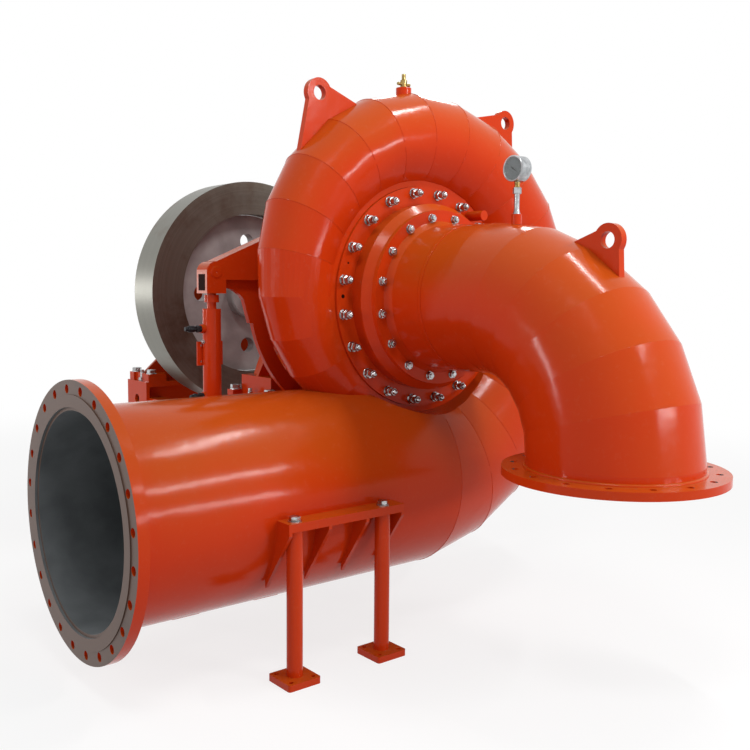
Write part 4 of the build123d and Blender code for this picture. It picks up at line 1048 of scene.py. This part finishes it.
onePiece("gauge_union", gaugeStem["place"], gaugeUnion, upward, stainless, "machine")
onePiece("gauge_neck", gaugeStem["place"], gaugeNeck, upward, brass, "machine")

# Servomotor: push-in hose fittings of black nylon on the two ports, and a small plug between them
hosePorts = {
    "upper": {"place": Vector((-0.835, armY, shaftZ - 0.140)), "length": 0.073},
    "lower": {"place": Vector((-0.826, armY, shaftZ - 0.428)), "length": 0.060},
}
barrelPlug = {
    "place": Vector((-0.8195, armY, shaftZ - 0.196)), "r": 0.0095, "foot": -0.004, "rim": 0.005,
    "edge": (0.001, 0.001), "flats": 0.0130, "top": 0.010,
}


def hoseFitting(length):
    # A collar on the port, its hexagon, a neck, and the sleeve with the release button at the end
    def build(shape):
        edgedDisc(shape, 0.0150, 0.0, 0.0095, (0.0025, 0.0015))
        hexBody(shape, 0.0270, 0.0090, 0.0220)
        turned(shape, [
            (0.0120, 0.0215), (0.0120, 0.030), (0.0142, 0.032), (0.0142, length - 0.018),
            (0.0130, length - 0.015), (0.0105, length - 0.014), (0.0100, length - 0.003), (0.0088, length),
        ])
    return build


def plugHead(shape):
    edgedDisc(shape, barrelPlug["r"], barrelPlug["foot"], barrelPlug["rim"], barrelPlug["edge"], count=24)
    hexBody(shape, barrelPlug["flats"], barrelPlug["rim"], barrelPlug["top"])


for name, port in hosePorts.items():
    onePiece(f"hose_fitting_{name}", port["place"], hoseFitting(port["length"]), towardInlet, nylon,
             "barrel")
onePiece("barrel_plug", barrelPlug["place"], plugHead, towardInlet, zinc, "barrel")


# End of the yoke pin: a turned disc with a raised middle and a centre dimple
def pinEnd(shape):
    turned(shape, [
        (0.0275, 0.0), (0.0275, 0.0008), (0.0262, 0.0014), (0.0222, 0.0014), (0.0214, 0.0030),
        (0.0046, 0.0030), (0.0020, 0.0012),
    ])


# Flywheel: the turned edge between rim and web, on the side towards the casing, as a bright ring of painted
# highlight
def rimHighlightRing(shape):
    turnedRing(shape, [(0.4318, -0.0005), (0.4352, -0.0005), (0.4352, 0.0035), (0.4330, 0.0022)], count=128)


onePiece("yoke_pin_end", Vector((barrelX, armY - 0.044, yokeZ)), pinEnd, towardFront, enamel,
         "gate_ring")
# Bright zinc ring on the rim's edge: a painted highlight
onePiece("flywheel_rim_edge", Vector((0, webFaceY, shaftZ)), rimHighlightRing, towardFront, zinc,
         "rotor")
print("gauge, fittings and edges made")

# The floor takes a soft shadow near the object and runs out into plain white
floorFade = {"discR": 60.0, "near": 2.2, "far": 6.5, "glow": 0.78, "fill": 0.44, "grey": (0.9, 0.9, 0.9, 1)}
floorMesh = bpy.data.meshes.new("floor")
floorShape = bmesh.new()
bmesh.ops.create_circle(floorShape, cap_ends=True, radius=floorFade["discR"], segments=64)
floorShape.to_mesh(floorMesh)
floorShape.free()
floor = newPiece("floor", floorMesh)


def seenDirectly(tree):
    # One where a camera, mirror or glass ray looks, nothing for other light
    rays = addNode(tree, "ShaderNodeLightPath").outputs
    one = addNode(tree, "ShaderNodeMath", {
        0: rays["Is Camera Ray"], 1: rays["Is Glossy Ray"],
    }, operation="MAXIMUM")
    return addNode(tree, "ShaderNodeMath", {
        0: one.outputs[0], 1: rays["Is Transmission Ray"],
    }, operation="MAXIMUM").outputs[0]


floorLook, floorTree, floorPlace = startMaterial("pale_floor")
away = addNode(floorTree, "ShaderNodeVectorMath", {0: floorPlace}, operation="LENGTH")
share = addNode(floorTree, "ShaderNodeMapRange", {
    "Value": away.outputs["Value"], "From Min": floorFade["near"], "From Max": floorFade["far"],
    "To Min": floorFade["glow"],
}, interpolation_type="SMOOTHSTEP")
fill = addNode(floorTree, "ShaderNodeMapRange", {
    "Value": seenDirectly(floorTree), "To Min": floorFade["fill"],
})
glow = addNode(floorTree, "ShaderNodeEmission", {"Color": (1, 1, 1, 1), "Strength": fill.outputs[0]})
grey = addNode(floorTree, "ShaderNodeBsdfDiffuse", {"Color": floorFade["grey"]})
both = addNode(floorTree, "ShaderNodeMixShader", {
    0: share.outputs[0], 1: grey.outputs[0], 2: glow.outputs[0],
})
endMaterial(floorTree, both)
floor.data.materials.append(floorLook)

# The world is plain white to look at and gives the object less light than that
worldFill = 0.45
world = bpy.data.worlds.new("studio")
bpy.context.scene.world = world
world.use_nodes = True
worldTree = world.node_tree
worldTree.nodes.clear()
worldLevel = addNode(worldTree, "ShaderNodeMapRange", {"Value": seenDirectly(worldTree), "To Min": worldFill})
sky = addNode(worldTree, "ShaderNodeBackground", {"Color": (1, 1, 1, 1), "Strength": worldLevel.outputs[0]})
addNode(worldTree, "ShaderNodeOutputWorld", {"Surface": sky.outputs[0]})

# Lamps: name, place, aim, length along X, width, watts; the strips draw the long lights on the pipe
lamps = [
    ("stripHigh", (1.00, -2.30, 4.80), (-1.1, -1.5, 0.89), 1.5, 0.12, 52),
    ("stripMiddle", (1.00, -4.70, 3.00), (-1.2, -1.58, 0.78), 1.5, 0.12, 44),
    ("stripLow", (1.00, -5.45, 1.40), (-1.2, -1.6, 0.70), 1.5, 0.16, 34),
    ("keyTop", (-2.2, -3.6, 5.6), (0, -1.0, 1.2), 1.6, 0.9, 70),
    ("sideLeft", (-4.6, -0.25, 1.75), (-0.72, -1.28, 1.42), 0.12, 1.3, 34),
    ("backLeft", (-2.3, 3.8, 1.5), (-0.62, 0.1, 1.4), 0.30, 0.7, 16),
    ("backRight", (4.0, 2.8, 5.0), (0, -0.6, 1.2), 1.6, 1.0, 50),
]
for name, place, aim, length, width, power in lamps:
    light = bpy.data.lights.new(name, "AREA")
    light.shape = "RECTANGLE"
    light.size = length
    light.size_y = width
    light.energy = power
    lamp = bpy.data.objects.new(name, light)
    bpy.context.scene.collection.objects.link(lamp)
    lamp.location = place
    lamp.rotation_euler = (Vector(aim) - Vector(place)).to_track_quat("-Z", "Y").to_euler()

# Camera at the photograph's place: angles in degrees, lens and sensor in millimetres
view = {
    "place": (-2.7279, -4.3583, 1.4464), "yaw": 39.31, "pitch": 5.52, "roll": 0.5,
    "lens": 44.13, "sensor": 36.0,
}
yaw, pitch, roll = (math.radians(view[key]) for key in ("yaw", "pitch", "roll"))
forward = Vector((math.sin(yaw) * math.cos(pitch), math.cos(yaw) * math.cos(pitch), -math.sin(pitch)))
levelRight = Vector((math.cos(yaw), -math.sin(yaw), 0))
upright = levelRight.cross(forward)
right = levelRight * math.cos(roll) + upright * math.sin(roll)
up = upright * math.cos(roll) - levelRight * math.sin(roll)
cameraData = bpy.data.cameras.new("photoCamera")
cameraData.lens = view["lens"]
cameraData.sensor_width = view["sensor"]
camera = bpy.data.objects.new("photoCamera", cameraData)
bpy.context.scene.collection.objects.link(camera)
turnMatrix = Matrix((right, up, -forward)).transposed().to_4x4()
camera.matrix_world = Matrix.Translation(view["place"]) @ turnMatrix
bpy.context.scene.camera = camera
bpy.context.scene.view_settings.view_transform = "Standard"
print("studio and camera set")
